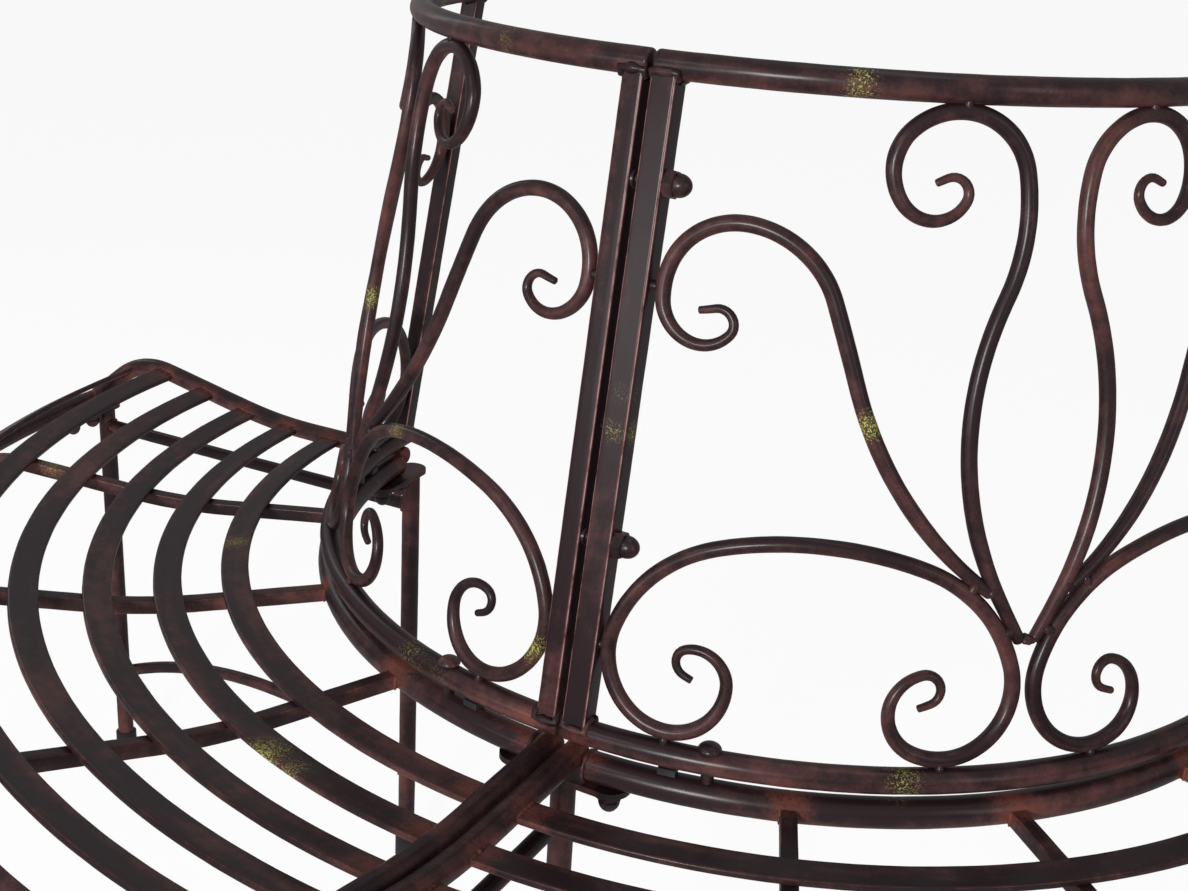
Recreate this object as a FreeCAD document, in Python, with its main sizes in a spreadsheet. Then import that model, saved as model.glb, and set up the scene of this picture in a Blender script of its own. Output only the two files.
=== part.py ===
import FreeCAD
import Part
import math
import os

# Half-round garden bench that closes round a tree trunk.
# Two equal quarter segments meet at the middle frame, and three leg frames carry them.
# Millimetres and degrees. Z is up, the floor is Z = 0 and the middle frame points to -Y.
# Round stock that repeats along bends is drawn as a regular polygon inside its circle.

DOC = FreeCAD.newDocument("TreeBench")
SHEET = DOC.addObject("Spreadsheet::Sheet", "Sizes")

DRIVING_SIZES = {
    "segment_angle": 88,
    "joint_gap": 6,
    "weld_gap": 0.3,
    "rail_height": 445,
    "rail_dia": 16,
    "ring_radius": 360,
    "back_lean_depth": 63,
    "back_height": 388,
    "post_width": 14,
    "post_chamfer_width": 1,
    "rod_dia": 9.5,
    "rod_tip_dia": 6,
    "rod_tip_length": 7,
    "seat_rail_dia": 19,
    "seat_rail_gap": 4.5,
    "end_tube_dia": 16,
    "end_tube_overrun_length": 6,
    "seat_flat_length": 95,
    "seat_rise_radius": 420,
    "seat_rise_angle": 11,
    "seat_crest_radius": 70,
    "seat_crest_angle": 50,
    "seat_nose_length": 49,
    "rim_dia": 16,
    "rim_radius": 719,
    "slat_count": 6,
    "slat_width": 20,
    "slat_thickness": 4.5,
    "first_slat_offset": 71,
    "bar_width": 10,
    "bar_angle": 21.5,
    "leg_dia": 16,
    "inner_leg_offset": 4,
    "outer_leg_offset": 3,
    "cross_bar_dia": 12,
    "cross_bar_depth": 68,
    "stretcher_dia": 12,
    "stretcher_end_height": 95,
    "stretcher_rise_height": 42,
    "foot_cap_dia": 21,
    "foot_cap_height": 24,
    "foot_cap_thickness": 3,
    "foot_cap_clearance": 0.2,
    "plate_width": 26,
    "plate_thickness": 4,
    "plate_hole_dia": 9,
    "stud_offset": 32,
    "end_stud_offset": 20,
    "end_stud_pitch": 26,
    "bolt_dia": 8,
    "bolt_hole_dia": 8.6,
    "nut_width": 13,
    "nut_height": 6.5,
    "nut_dome_dia": 12,
    "nut_dome_height": 6,
    "bolt_head_dia": 14.5,
    "bolt_head_height": 5,
    "post_bolt_low_height": 118,
    "post_bolt_high_height": 325,
    "back_bolt_angle": 14.7,
    "pad_angle": 10.9,
    "pad_length": 11,
    "pad_width": 9,
}

# Sizes that pieces share, worked out in the sheet
TIED_SIZES = {
    "top_radius": "=ring_radius - back_lean_depth",
    "top_rail_height": "=rail_height + back_height",
    "seat_rail_height": "=rail_height - rail_dia / 2 - seat_rail_gap - seat_rail_dia / 2",
    "seat_height": "=rail_height - rail_dia / 2 - weld_gap - end_tube_dia / 2",
    "first_slat_radius": "=ring_radius + first_slat_offset",
    "slat_pitch": "=(rim_radius - first_slat_radius) / slat_count",
    "inner_leg_radius": "=ring_radius - inner_leg_offset",
    "outer_leg_radius": "=rim_radius - outer_leg_offset",
}

for row, (word, value) in enumerate({**DRIVING_SIZES, **TIED_SIZES}.items(), start=1):
    SHEET.set("A%d" % row, word)
    SHEET.set("B%d" % row, str(value))
    SHEET.setAlias("B%d" % row, word)
DOC.recompute()


def size(word):
    return float(getattr(SHEET, word))


ORIGIN = FreeCAD.Vector(0, 0, 0)
X_AXIS = FreeCAD.Vector(1, 0, 0)
Y_AXIS = FreeCAD.Vector(0, 1, 0)
Z_AXIS = FreeCAD.Vector(0, 0, 1)
TUBE_SIDES = 8
NUT_SIDES = 6

SPAN = size("segment_angle")
HALF_SPAN = SPAN / 2
GAP = size("weld_gap")
HALF_GAP = size("joint_gap") / 2
RAIL_Z = size("rail_height")
LEAN = math.atan2(size("back_lean_depth"), size("back_height"))
POST_OFFSET = HALF_GAP + size("post_width") / 2
END_TUBE_OFFSET = HALF_GAP + size("end_tube_dia") / 2
SEAT_END_OFFSET = HALF_GAP + size("end_tube_dia") + GAP
PLATE_TOP = size("seat_rail_height") - size("seat_rail_dia") / 2 - GAP
FRONT_REACH = max(size("rim_radius") + size("rim_dia") / 2,
                  size("outer_leg_radius") + size("plate_width") / 2)
BACK_REACH = size("plate_width") / 2 - size("inner_leg_radius") * math.cos(math.radians(SPAN))
RING_CENTRE = FreeCAD.Vector(0, (FRONT_REACH - BACK_REACH) / 2, 0)
SEGMENTS = {"right": HALF_SPAN, "left": -HALF_SPAN}
FRAMES = {"middle": 0.0, "right": SPAN, "left": -SPAN}

PIECES = {}


def station(azimuth, offset=0.0, radius=0.0, height=0.0):
    """Place local X outward at an azimuth from -Y, local Y along the ring and Z up."""
    turn = FreeCAD.Rotation(Z_AXIS, azimuth - 90)
    base = RING_CENTRE + turn.multVec(FreeCAD.Vector(radius, offset, height))
    return FreeCAD.Placement(base, turn)


def segment_placement(azimuth):
    """Put a shape drawn about -Y of the ring's own frame at a segment's azimuth."""
    return FreeCAD.Placement(RING_CENTRE, FreeCAD.Rotation(Z_AXIS, azimuth))


def bind(thing, **formulas):
    """Tie properties of a document object to cells of the size sheet."""
    for name, formula in formulas.items():
        thing.setExpression(name, formula)
    return thing


def feature(label, shape, placement=None):
    """Hold a shape built from the sizes as an object of the document."""
    thing = DOC.addObject("Part::Feature", label)
    thing.Shape = shape
    if placement is not None:
        thing.Placement = placement
    return thing


def group(label, members):
    """Keep identical solids together in one object."""
    thing = DOC.addObject("Part::Compound", label)
    thing.Links = members
    return thing


def cut(label, base, tool):
    thing = DOC.addObject("Part::Cut", label)
    thing.Base = base
    thing.Tool = tool
    return thing


def piece(node, thing):
    """Name a finished sub-part after its node."""
    thing.Label = node
    PIECES[node] = thing
    return thing


def largest(shape):
    """Solid that stays when a cope cuts slivers off."""
    return max(shape.Solids, key=lambda solid: solid.Volume)


def ends(azimuth, side):
    """Both ends of a segment: place, azimuth, and the sense that points past the end."""
    inward = 1 if side == "right" else -1
    return (("middle", azimuth - inward * HALF_SPAN, -inward), ("end", azimuth + inward * HALF_SPAN, inward))


# Stock


def closed_outline(corners):
    return Part.makePolygon(corners + corners[:1])


def tube_outline(centre, ahead, first, dia, sides=TUBE_SIDES):
    """Regular polygon inside a tube's circle, square to the tube, with a corner on a given side."""
    across = (first - ahead * first.dot(ahead)).normalize()
    other = ahead.cross(across)
    corners = []
    for number in range(sides):
        turn = 2 * math.pi * number / sides
        corners.append(centre + (across * math.cos(turn) + other * math.sin(turn)) * (dia / 2))
    return closed_outline(corners)


def ring_tube(radius, height, dia, angle):
    """Tube bent round the ring's own Z axis, centred on -Y."""
    section = Part.Face(tube_outline(FreeCAD.Vector(radius, 0, height), Y_AXIS, Z_AXIS, dia))
    section.rotate(ORIGIN, Z_AXIS, -90 - angle / 2)
    return section.revolve(ORIGIN, Z_AXIS, angle)


def prism(sides, low_dia, high_dia, low, high):
    """Upright prism or frustum with regular ends inside the given circles."""
    rings = []
    for dia, level in ((low_dia, low), (high_dia, high)):
        turns = [2 * math.pi * number / sides for number in range(sides)]
        rings.append([FreeCAD.Vector(dia / 2 * math.cos(turn), dia / 2 * math.sin(turn), level)
                      for turn in turns])
    faces = [Part.Face(closed_outline(ring)) for ring in rings]
    for number in range(sides):
        after = (number + 1) % sides
        corners = [rings[0][number], rings[0][after], rings[1][after], rings[1][number]]
        faces.append(Part.Face(closed_outline(corners)))
    return Part.makeSolid(Part.makeShell(faces))


# Backrest rails


def ring_arc(label, azimuth, radius_word, height_word, dia_word):
    """Rail bent to one segment's arc, cut short by half the joint gap."""
    radius = size(radius_word)
    start = azimuth - HALF_SPAN + math.degrees(math.asin(HALF_GAP / radius)) - 90
    turn = FreeCAD.Rotation(Z_AXIS, start)
    corner = turn.multVec(FreeCAD.Vector(radius, 0, size(height_word)))
    section = DOC.addObject("Part::RegularPolygon", label + "_section")
    section.Polygon = TUBE_SIDES
    bind(section, Circumradius="Sizes.%s / 2" % dia_word)
    section.Placement = FreeCAD.Placement(RING_CENTRE + corner, turn.multiply(FreeCAD.Rotation(X_AXIS, 90)))
    arc = DOC.addObject("Part::Revolution", label)
    arc.Source = section
    arc.Base = RING_CENTRE
    arc.Axis = Z_AXIS
    arc.Solid = True
    bind(arc, Angle="Sizes.segment_angle - 2 * asin(Sizes.joint_gap / 2 / Sizes.%s) / 1 deg" % radius_word)
    return arc


def back_bolt_azimuths(azimuth):
    reach = HALF_SPAN - size("back_bolt_angle")
    return (azimuth - reach, azimuth + reach)


def bolt_drill(label, azimuths, low, high):
    """Upright drills through a rail on the ring radius."""
    drills = []
    for number, at in enumerate(azimuths, start=1):
        drill = DOC.addObject("Part::Cylinder", "%s_%d" % (label, number))
        bind(drill, Radius="Sizes.bolt_hole_dia / 2")
        drill.Height = high - low
        drill.Placement = station(at, radius=size("ring_radius"), height=low)
        drills.append(drill)
    return group(label, drills)


def make_back_rails():
    """Top and bottom rails of the backrest."""
    for side, azimuth in SEGMENTS.items():
        top = ring_arc("top_arc_" + side, azimuth, "top_radius", "top_rail_height", "rail_dia")
        piece("top_rail_" + side, top)
        low = ring_arc("bottom_arc_" + side, azimuth, "ring_radius", "rail_height", "rail_dia")
        drills = bolt_drill("bottom_drill_" + side, back_bolt_azimuths(azimuth),
                            RAIL_Z - size("rail_dia"), RAIL_Z + size("rail_dia"))
        piece("bottom_rail_" + side, cut("bottom_cut_" + side, low, drills))


# Backrest posts


def back_radius(rise):
    """Radius of the leaning backrest at a height above the bottom rail."""
    return size("ring_radius") - rise * math.tan(LEAN)


def post_blank():
    """Square post with chamfered corners that leans with the backrest."""
    side = size("post_width")
    length = math.hypot(size("back_height"), size("back_lean_depth"))
    blank = Part.makeBox(side, side, length, FreeCAD.Vector(-side / 2, -side / 2, 0))
    uprights = [edge for edge in blank.Edges if abs(edge.Length - length) < GAP]
    blank = blank.makeChamfer(size("post_chamfer_width"), uprights)
    blank.rotate(ORIGIN, Y_AXIS, -math.degrees(LEAN))
    return blank


def post_drill(rise):
    """Cylinder along the ring through both middle posts."""
    reach = 2 * POST_OFFSET
    spot = station(0, -reach, back_radius(rise), RAIL_Z + rise)
    return Part.makeCylinder(size("bolt_hole_dia") / 2, 2 * reach, spot.Base, spot.Rotation.multVec(Y_AXIS))


def make_posts():
    """Posts at both ends of each segment, coped to the rails; the middle ones are drilled."""
    relief = size("rail_dia") + 2 * GAP
    rails = [ring_tube(size("ring_radius"), RAIL_Z, relief, SPAN),
             ring_tube(size("top_radius"), size("top_rail_height"), relief, SPAN)]
    for side, azimuth in SEGMENTS.items():
        for place, end_azimuth, sense in ends(azimuth, side):
            shape = post_blank()
            foot = station(end_azimuth, -sense * POST_OFFSET, size("ring_radius"), RAIL_Z)
            shape.Placement = foot.multiply(shape.Placement)
            for rail in rails:
                relief_ring = rail.copy()
                relief_ring.Placement = segment_placement(azimuth).multiply(relief_ring.Placement)
                shape = shape.cut(relief_ring)
            if place == "middle":
                shape = shape.cut(post_drill(size("post_bolt_low_height")))
                shape = shape.cut(post_drill(size("post_bolt_high_height")))
            node = "%s_post_%s" % (place, side)
            piece(node, feature(node, largest(shape)))


# Scrolls of the backrest
# A scroll is drawn flat, in millimetres from the panel's centre line and above the bottom rail,
# as a start point, a heading in degrees and arcs of (radius, turn in degrees, left is positive).
# The drawn lengths below are the flat panel's own, and the drawing is fitted to the real one.

DRAWN_FOOT = 254.4
DRAWN_HEAD = 206.0
DRAWN_HEIGHT = 388.0
DRAWN_LOW = 11.8
DRAWN_HIGH = 375.7
DRAWN_MIDDLE = 5.3

SCROLLS = {
    "lower_scroll": {
        "start": (-195, 46),
        "heading": 187,
        "arcs": ((11, -130), (18, -130), (36, -143), (44, -62), (76, -54), (170, -58),
                 (74, -57), (40, -156), (20, -149), (7, -75), (11, -88)),
        "tips": (True, True),
    },
    "middle_scroll": {
        "start": (-199, 260),
        "heading": 55,
        "arcs": ((12, -163), (17, -100), (35, -96), (48, -108), (171, -25), (174, 41)),
        "tips": (True, False),
    },
    "upper_scroll": {
        "start": (-71, 340),
        "heading": 49,
        "arcs": ((11, -179), (22, -99), (30, -114), (43, -92), (78, -41), (190, 61)),
        "tips": (True, False),
    },
}
WIDEST_BEND = 120.0
TANGENT_STEP = 0.01


def panel_point(along, above, mirrored):
    """Point of the flat drawing carried onto the leaning, conical backrest."""
    low = ((size("rail_dia") + size("rod_dia")) / 2 + GAP) * math.cos(LEAN)
    high = size("back_height") - low
    rise = low + (above - DRAWN_LOW) * (high - low) / (DRAWN_HIGH - DRAWN_LOW)
    radius = back_radius(rise)
    post_face = HALF_GAP + size("post_width")
    middle = size("rod_dia") / 2 + 2 * GAP
    edge = (math.radians(HALF_SPAN) - math.asin(post_face / radius)) * radius - middle
    drawn_edge = DRAWN_FOOT - (DRAWN_FOOT - DRAWN_HEAD) * above / DRAWN_HEIGHT
    share = (-along - DRAWN_MIDDLE) / (drawn_edge - DRAWN_MIDDLE)
    arc = middle + share * (edge - middle)
    angle = (arc if mirrored else -arc) / radius
    return FreeCAD.Vector(radius * math.sin(angle), -radius * math.cos(angle), RAIL_Z + rise)


def panel_heading(along, above, heading, mirrored):
    """Direction on the backrest of a heading on the flat drawing."""
    step_along = TANGENT_STEP * math.cos(heading)
    step_above = TANGENT_STEP * math.sin(heading)
    ahead = panel_point(along + step_along, above + step_above, mirrored)
    behind = panel_point(along - step_along, above - step_above, mirrored)
    return (ahead - behind).normalize()


def flat_route(scroll):
    """Points and headings of the flat drawing, with wide bends taken in equal parts."""
    along, above = scroll["start"]
    heading = math.radians(scroll["heading"])
    route = [(along, above, heading)]
    for radius, turn in scroll["arcs"]:
        count = math.ceil(abs(turn) / WIDEST_BEND)
        step = math.radians(turn) / count
        side = math.copysign(radius, turn)
        for _ in range(count):
            along += side * (math.sin(heading + step) - math.sin(heading))
            above -= side * (math.cos(heading + step) - math.cos(heading))
            heading += step
            route.append((along, above, heading))
    return route


def arc_from_tangent(start, tangent, end):
    """Arc that leaves a point along a tangent and ends at another point."""
    chord = end - start
    ahead = FreeCAD.Vector(chord).normalize()
    sideways = tangent - ahead * tangent.dot(ahead)
    half_turn = math.atan2(sideways.Length, tangent.dot(ahead))
    sag = sideways.normalize() * (chord.Length / 2 * math.tan(half_turn / 2))
    return Part.Arc(start, start + chord / 2 + sag, end).toShape()


def biarc(start, leave, end, arrive):
    """Two tangent arcs from one point and direction to the next."""
    span = end - start
    spread = 2 * (leave.dot(arrive) - 1)
    forward = span.dot(leave + arrive)
    reach = (forward - math.sqrt(forward * forward - spread * span.dot(span))) / spread
    joint = (start + end + (leave - arrive) * reach) / 2
    back = arc_from_tangent(end, arrive * -1, joint)
    middle = back.valueAt((back.FirstParameter + back.LastParameter) / 2)
    return [arc_from_tangent(start, leave, joint), Part.Arc(joint, middle, end).toShape()]


def scroll_shape(scroll, mirrored):
    """Rod swept along its route on the backrest, with drawn-down tips."""
    stops = []
    for along, above, heading in flat_route(scroll):
        stops.append((panel_point(along, above, mirrored), panel_heading(along, above, heading, mirrored)))
    edges = []
    for (start, leave), (end, arrive) in zip(stops, stops[1:]):
        edges.extend(biarc(start, leave, end, arrive))
    point, direction = stops[0]
    section = tube_outline(point, direction, Y_AXIS, size("rod_dia"))
    rod = Part.Wire(edges).makePipeShell([section], True, False)
    for with_tip, (point, direction), sense in zip(scroll["tips"], (stops[0], stops[-1]), (-1, 1)):
        if with_tip:
            rod = rod.fuse(tip_shape(rod, point, direction * sense))
    return rod


def tip_shape(rod, point, outward):
    """Frustum on the rod's end face that draws it down to the tip."""
    face = min(rod.Faces, key=lambda each: (each.CenterOfMass - point).Length)
    tip = face.OuterWire.copy()
    tip.translate(outward * size("rod_tip_length"))
    tip.scale(size("rod_tip_dia") / size("rod_dia"), point + outward * size("rod_tip_length"))
    return Part.makeLoft([face.OuterWire, tip], True, True)


def make_scrolls():
    """Three scrolls in each half of a panel, mirrored about its centre line."""
    for side, azimuth in SEGMENTS.items():
        for name, scroll in SCROLLS.items():
            for half, mirrored in (("a", False), ("b", True)):
                node = "%s_%s_%s" % (name, side, half)
                piece(node, feature(node, scroll_shape(scroll, mirrored), segment_placement(azimuth)))


# Seat

SEAT_RISE = math.radians(size("seat_rise_angle"))
SEAT_FALL = math.radians(size("seat_crest_angle")) - SEAT_RISE
SEAT_RUN = (size("rim_radius") - size("ring_radius") - size("seat_flat_length")
            - size("seat_rise_radius") * math.sin(SEAT_RISE)
            - size("seat_crest_radius") * (math.sin(SEAT_RISE) + math.sin(SEAT_FALL))
            - size("seat_nose_length") * math.cos(SEAT_FALL)) / math.cos(SEAT_RISE)


def seat_profile(shift=0.0):
    """Line of the seat's section: flat, bent up, straight, rolled over the crest and down to the rim."""
    level = size("seat_height") + shift
    bend = size("seat_rise_radius") - shift
    crest = size("seat_crest_radius") + shift
    flat = FreeCAD.Vector(size("ring_radius") + size("seat_flat_length"), 0, level)

    def along_bend(angle):
        return flat + FreeCAD.Vector(math.sin(angle), 0, 1 - math.cos(angle)) * bend

    rise = along_bend(SEAT_RISE)
    top = rise + FreeCAD.Vector(math.cos(SEAT_RISE), 0, math.sin(SEAT_RISE)) * SEAT_RUN
    hub = top + FreeCAD.Vector(math.sin(SEAT_RISE), 0, -math.cos(SEAT_RISE)) * crest

    def along_crest(angle):
        return hub + FreeCAD.Vector(math.sin(angle), 0, math.cos(angle)) * crest

    fall = along_crest(SEAT_FALL)
    nose = fall + FreeCAD.Vector(1, 0, -math.tan(SEAT_FALL)) * (size("rim_radius") - fall.x)
    return {
        "inner": FreeCAD.Vector(size("ring_radius") - size("end_tube_overrun_length"), 0, level),
        "flat": flat,
        "mid": along_bend(SEAT_RISE / 2),
        "rise": rise,
        "top": top,
        "crest": along_crest((SEAT_FALL - SEAT_RISE) / 2),
        "fall": fall,
        "nose": nose,
        "hub": hub,
    }


def profile_edges(shift=0.0):
    at = seat_profile(shift)
    return [Part.makeLine(at["inner"], at["flat"]),
            Part.Arc(at["flat"], at["mid"], at["rise"]).toShape(),
            Part.makeLine(at["rise"], at["top"]),
            Part.Arc(at["top"], at["crest"], at["fall"]).toShape(),
            Part.makeLine(at["fall"], at["nose"])]


RIM_Z = seat_profile()["nose"].z
RIM_UNDERSIDE = RIM_Z - size("rim_dia") / 2 - GAP


def slope_at(radius):
    """Height and slope of the seat's line at a radius."""
    at = seat_profile()
    if radius <= at["flat"].x:
        return at["flat"].z, 0.0
    if radius <= at["rise"].x:
        angle = math.asin((radius - at["flat"].x) / size("seat_rise_radius"))
        return at["flat"].z + size("seat_rise_radius") * (1 - math.cos(angle)), angle
    if radius <= at["top"].x:
        return at["rise"].z + (radius - at["rise"].x) * math.tan(SEAT_RISE), SEAT_RISE
    if radius <= at["fall"].x:
        angle = math.asin((at["hub"].x - radius) / size("seat_crest_radius"))
        return at["hub"].z + size("seat_crest_radius") * math.cos(angle), angle
    return at["fall"].z - (radius - at["fall"].x) * math.tan(SEAT_FALL), -SEAT_FALL


def beside_end_tubes(shape):
    """Trim a shape of the ring's own frame by planes parallel to the segment's ends."""
    box = shape.BoundBox
    reach = 2 * size("rim_radius")
    half = math.radians(HALF_SPAN)
    near = SEAT_END_OFFSET / math.sin(half)
    side = reach * math.sin(half)
    front = -near - reach * math.cos(half)
    corners = [FreeCAD.Vector(0, -near, box.ZMin), FreeCAD.Vector(side, front, box.ZMin),
               FreeCAD.Vector(0, 2 * front, box.ZMin), FreeCAD.Vector(-side, front, box.ZMin)]
    sector = Part.Face(closed_outline(corners)).extrude(Z_AXIS * box.ZLength)
    return largest(shape.common(sector))


def slat_shape(radius):
    """Flat bar bent to its radius and tilted with the seat."""
    height, slope = slope_at(radius)
    across = size("slat_width") / 2
    deep = size("slat_thickness") / 2
    corners = [FreeCAD.Vector(-across, 0, -deep), FreeCAD.Vector(across, 0, -deep),
               FreeCAD.Vector(across, 0, deep), FreeCAD.Vector(-across, 0, deep)]
    section = Part.Face(closed_outline(corners))
    section.rotate(ORIGIN, Y_AXIS, -math.degrees(slope))
    section.translate(FreeCAD.Vector(radius, 0, height))
    section.rotate(ORIGIN, Z_AXIS, -90 - HALF_SPAN)
    return beside_end_tubes(section.revolve(ORIGIN, Z_AXIS, SPAN))


def end_tube_shape():
    """Round tube along the seat's section."""
    outline = tube_outline(seat_profile()["inner"], X_AXIS, Z_AXIS, size("end_tube_dia"))
    return Part.Wire(profile_edges()).makePipeShell([outline], True, False)


def bar_shape():
    """Square bar that follows the underside of the slats from rail to rim."""
    side = size("bar_width")
    upper = -size("slat_thickness") / 2 - GAP
    top_edges = profile_edges(upper)
    low_edges = profile_edges(upper - side)
    joins = [Part.makeLine(low_edges[0].Vertexes[0].Point, top_edges[0].Vertexes[0].Point),
             Part.makeLine(top_edges[-1].Vertexes[-1].Point, low_edges[-1].Vertexes[-1].Point)]
    outline = Part.Wire(Part.__sortEdges__(top_edges + low_edges + joins))
    bar = Part.Face(outline).extrude(Y_AXIS * side)
    bar.translate(Y_AXIS * (-side / 2))
    return bar


def coped(shape, azimuth, offset, tools):
    """Put a piece of the seat's section at its azimuth and cope it to the rings it meets."""
    shape = shape.copy()
    shape.translate(Y_AXIS * offset)
    shape.rotate(ORIGIN, Z_AXIS, azimuth - 90)
    for tool in tools:
        shape = shape.cut(tool)
    return largest(shape)


def make_seat():
    """Rails, end tubes, slats and bearer bars of both seat segments."""
    rim_relief = ring_tube(size("rim_radius"), RIM_Z, size("rim_dia") + 2 * GAP, 2 * SPAN)
    rail_relief = ring_tube(size("ring_radius"), size("seat_rail_height"),
                            size("seat_rail_dia") + 2 * GAP, SPAN)
    tube = end_tube_shape()
    bar = bar_shape()
    bars = []
    for side, azimuth in SEGMENTS.items():
        rail = ring_tube(size("ring_radius"), size("seat_rail_height"), size("seat_rail_dia"), SPAN)
        rail = beside_end_tubes(rail)
        for at in back_bolt_azimuths(0):
            radial = FreeCAD.Rotation(Z_AXIS, at - 90).multVec(X_AXIS)
            foot = radial * size("ring_radius") + Z_AXIS * (size("seat_rail_height") - size("bolt_dia") / 2)
            rail = rail.cut(Part.makeCylinder(size("bolt_hole_dia") / 2, size("seat_rail_dia"), foot))
        piece("seat_rail_" + side, feature("seat_rail_" + side, rail, segment_placement(azimuth)))
        piece("rim_rail_" + side,
              feature("rim_rail_" + side, rim_arc_shape(), segment_placement(azimuth)))
        for place, end_azimuth, sense in ends(azimuth, side):
            node = "seat_tube_%s_%s" % (place, side)
            shape = coped(tube, end_azimuth, -sense * END_TUBE_OFFSET, [rim_relief])
            piece(node, feature(node, shape, FreeCAD.Placement(RING_CENTRE, FreeCAD.Rotation())))
        for number in range(int(size("slat_count"))):
            radius = size("first_slat_radius") + number * size("slat_pitch")
            node = "slat_%d_%s" % (number + 1, side)
            piece(node, feature(node, slat_shape(radius), segment_placement(azimuth)))
        for number in (-1, 0, 1):
            shape = coped(bar, number * size("bar_angle"), 0.0, [rim_relief, rail_relief])
            bars.append(feature("bar_%s_%d" % (side, number + 2), shape, segment_placement(azimuth)))
    piece("bearer_bars", group("bars", bars))


def rim_arc_shape():
    """Outer rail of the seat over one segment."""
    trim = math.degrees(math.asin(HALF_GAP / size("rim_radius")))
    return ring_tube(size("rim_radius"), RIM_Z, size("rim_dia"), SPAN - 2 * trim)


# Leg frames


def leg(label, azimuth, radius, top):
    """Upright tube that stands in its foot cap."""
    tube = DOC.addObject("Part::Cylinder", label)
    bind(tube, Radius="Sizes.leg_dia / 2")
    tube.Height = top - size("foot_cap_thickness")
    tube.Placement = station(azimuth, radius=radius, height=size("foot_cap_thickness"))
    return tube


def leg_relief(label, azimuth):
    """Both legs of a frame with a weld gap round them, to cope the bars between them."""
    sleeves = []
    for number, radius in enumerate((size("inner_leg_radius"), size("outer_leg_radius")), start=1):
        sleeve = DOC.addObject("Part::Cylinder", "%s_%d" % (label, number))
        bind(sleeve, Radius="Sizes.leg_dia / 2 + Sizes.weld_gap", Height="Sizes.rail_height")
        sleeve.Placement = station(azimuth, radius=radius)
        sleeves.append(sleeve)
    return group(label, sleeves)


def arch_shape():
    """Arched stretcher from leg to leg, drawn with X outward."""
    inner = size("inner_leg_radius")
    outer = size("outer_leg_radius")
    low = size("stretcher_end_height")
    rise = size("stretcher_rise_height")
    start = FreeCAD.Vector(inner, 0, low)
    arch = Part.Arc(start, FreeCAD.Vector((inner + outer) / 2, 0, low + rise), FreeCAD.Vector(outer, 0, low))
    path = Part.Wire(arch.toShape())
    ahead = path.Edges[0].tangentAt(path.Edges[0].FirstParameter)
    outline = tube_outline(start, ahead, Z_AXIS, size("stretcher_dia"))
    return path.makePipeShell([outline], True, False)


def make_leg_frames():
    """Inner leg, outer leg, cross bar and arched stretcher of each frame."""
    inner_top = PLATE_TOP - size("plate_thickness")
    outer_top = RIM_UNDERSIDE - size("plate_thickness")
    level = FreeCAD.Rotation(Y_AXIS, 90)
    for place, azimuth in FRAMES.items():
        piece("inner_leg_" + place, leg("inner_tube_" + place, azimuth, size("inner_leg_radius"), inner_top))
        piece("outer_leg_" + place, leg("outer_tube_" + place, azimuth, size("outer_leg_radius"), outer_top))
        bar = DOC.addObject("Part::Cylinder", "cross_blank_" + place)
        bind(bar, Radius="Sizes.cross_bar_dia / 2", Height="Sizes.outer_leg_radius - Sizes.inner_leg_radius")
        spot = station(azimuth, radius=size("inner_leg_radius"), height=RAIL_Z - size("cross_bar_depth"))
        bar.Placement = FreeCAD.Placement(spot.Base, spot.Rotation.multiply(level))
        relief = leg_relief("cross_relief_" + place, azimuth)
        piece("cross_bar_" + place, cut("cross_cut_" + place, bar, relief))
        arch = feature("arch_blank_" + place, arch_shape(), station(azimuth))
        relief = leg_relief("arch_relief_" + place, azimuth)
        piece("stretcher_" + place, cut("arch_cut_" + place, arch, relief))


def foot_cap_shape():
    """Cup with a flat sole and a chamfered lip that closes the end of a leg."""
    outer = size("foot_cap_dia") / 2
    bore = size("leg_dia") / 2 + size("foot_cap_clearance")
    lip = (outer - bore) / 2
    top = size("foot_cap_height")
    floor = size("foot_cap_thickness")
    outline = ((0, 0), (outer, 0), (outer, top - lip), (outer - lip, top),
               (bore, top), (bore, floor), (0, floor))
    profile = [FreeCAD.Vector(radius, 0, level) for radius, level in outline]
    return Part.Face(closed_outline(profile)).revolve(ORIGIN, Z_AXIS, 360)


def make_foot_caps():
    caps = []
    for place, azimuth in FRAMES.items():
        for name in ("inner", "outer"):
            spot = station(azimuth, radius=size(name + "_leg_radius"))
            caps.append(feature("cap_%s_%s" % (name, place), foot_cap_shape(), spot))
    piece("foot_caps", group("caps", caps))


def stud_offsets(place):
    """Offsets along the ring of a plate's two studs, and of the centres of its rounded ends."""
    near = size("end_stud_offset")
    far = near + size("end_stud_pitch")
    if place == "middle":
        wide = size("stud_offset")
        return (-wide, wide), (-wide, wide)
    sense = -1 if place == "right" else 1
    return (sense * near, sense * far), (0.0, sense * far)


def plate_shape(place):
    """Obround plate with two stud holes."""
    studs, rounds = stud_offsets(place)
    low, high = min(rounds), max(rounds)
    half = size("plate_width") / 2
    corners = [FreeCAD.Vector(-half, low, 0), FreeCAD.Vector(-half, high, 0),
               FreeCAD.Vector(half, high, 0), FreeCAD.Vector(half, low, 0)]
    outline = Part.Wire([
        Part.makeLine(corners[0], corners[1]),
        Part.Arc(corners[1], FreeCAD.Vector(0, high + half, 0), corners[2]).toShape(),
        Part.makeLine(corners[2], corners[3]),
        Part.Arc(corners[3], FreeCAD.Vector(0, low - half, 0), corners[0]).toShape()])
    plate = Part.Face(outline).extrude(Z_AXIS * size("plate_thickness"))
    for offset in studs:
        hole = Part.makeCylinder(size("plate_hole_dia") / 2, size("plate_thickness"), Y_AXIS * offset)
        plate = plate.cut(hole)
    return plate


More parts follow.
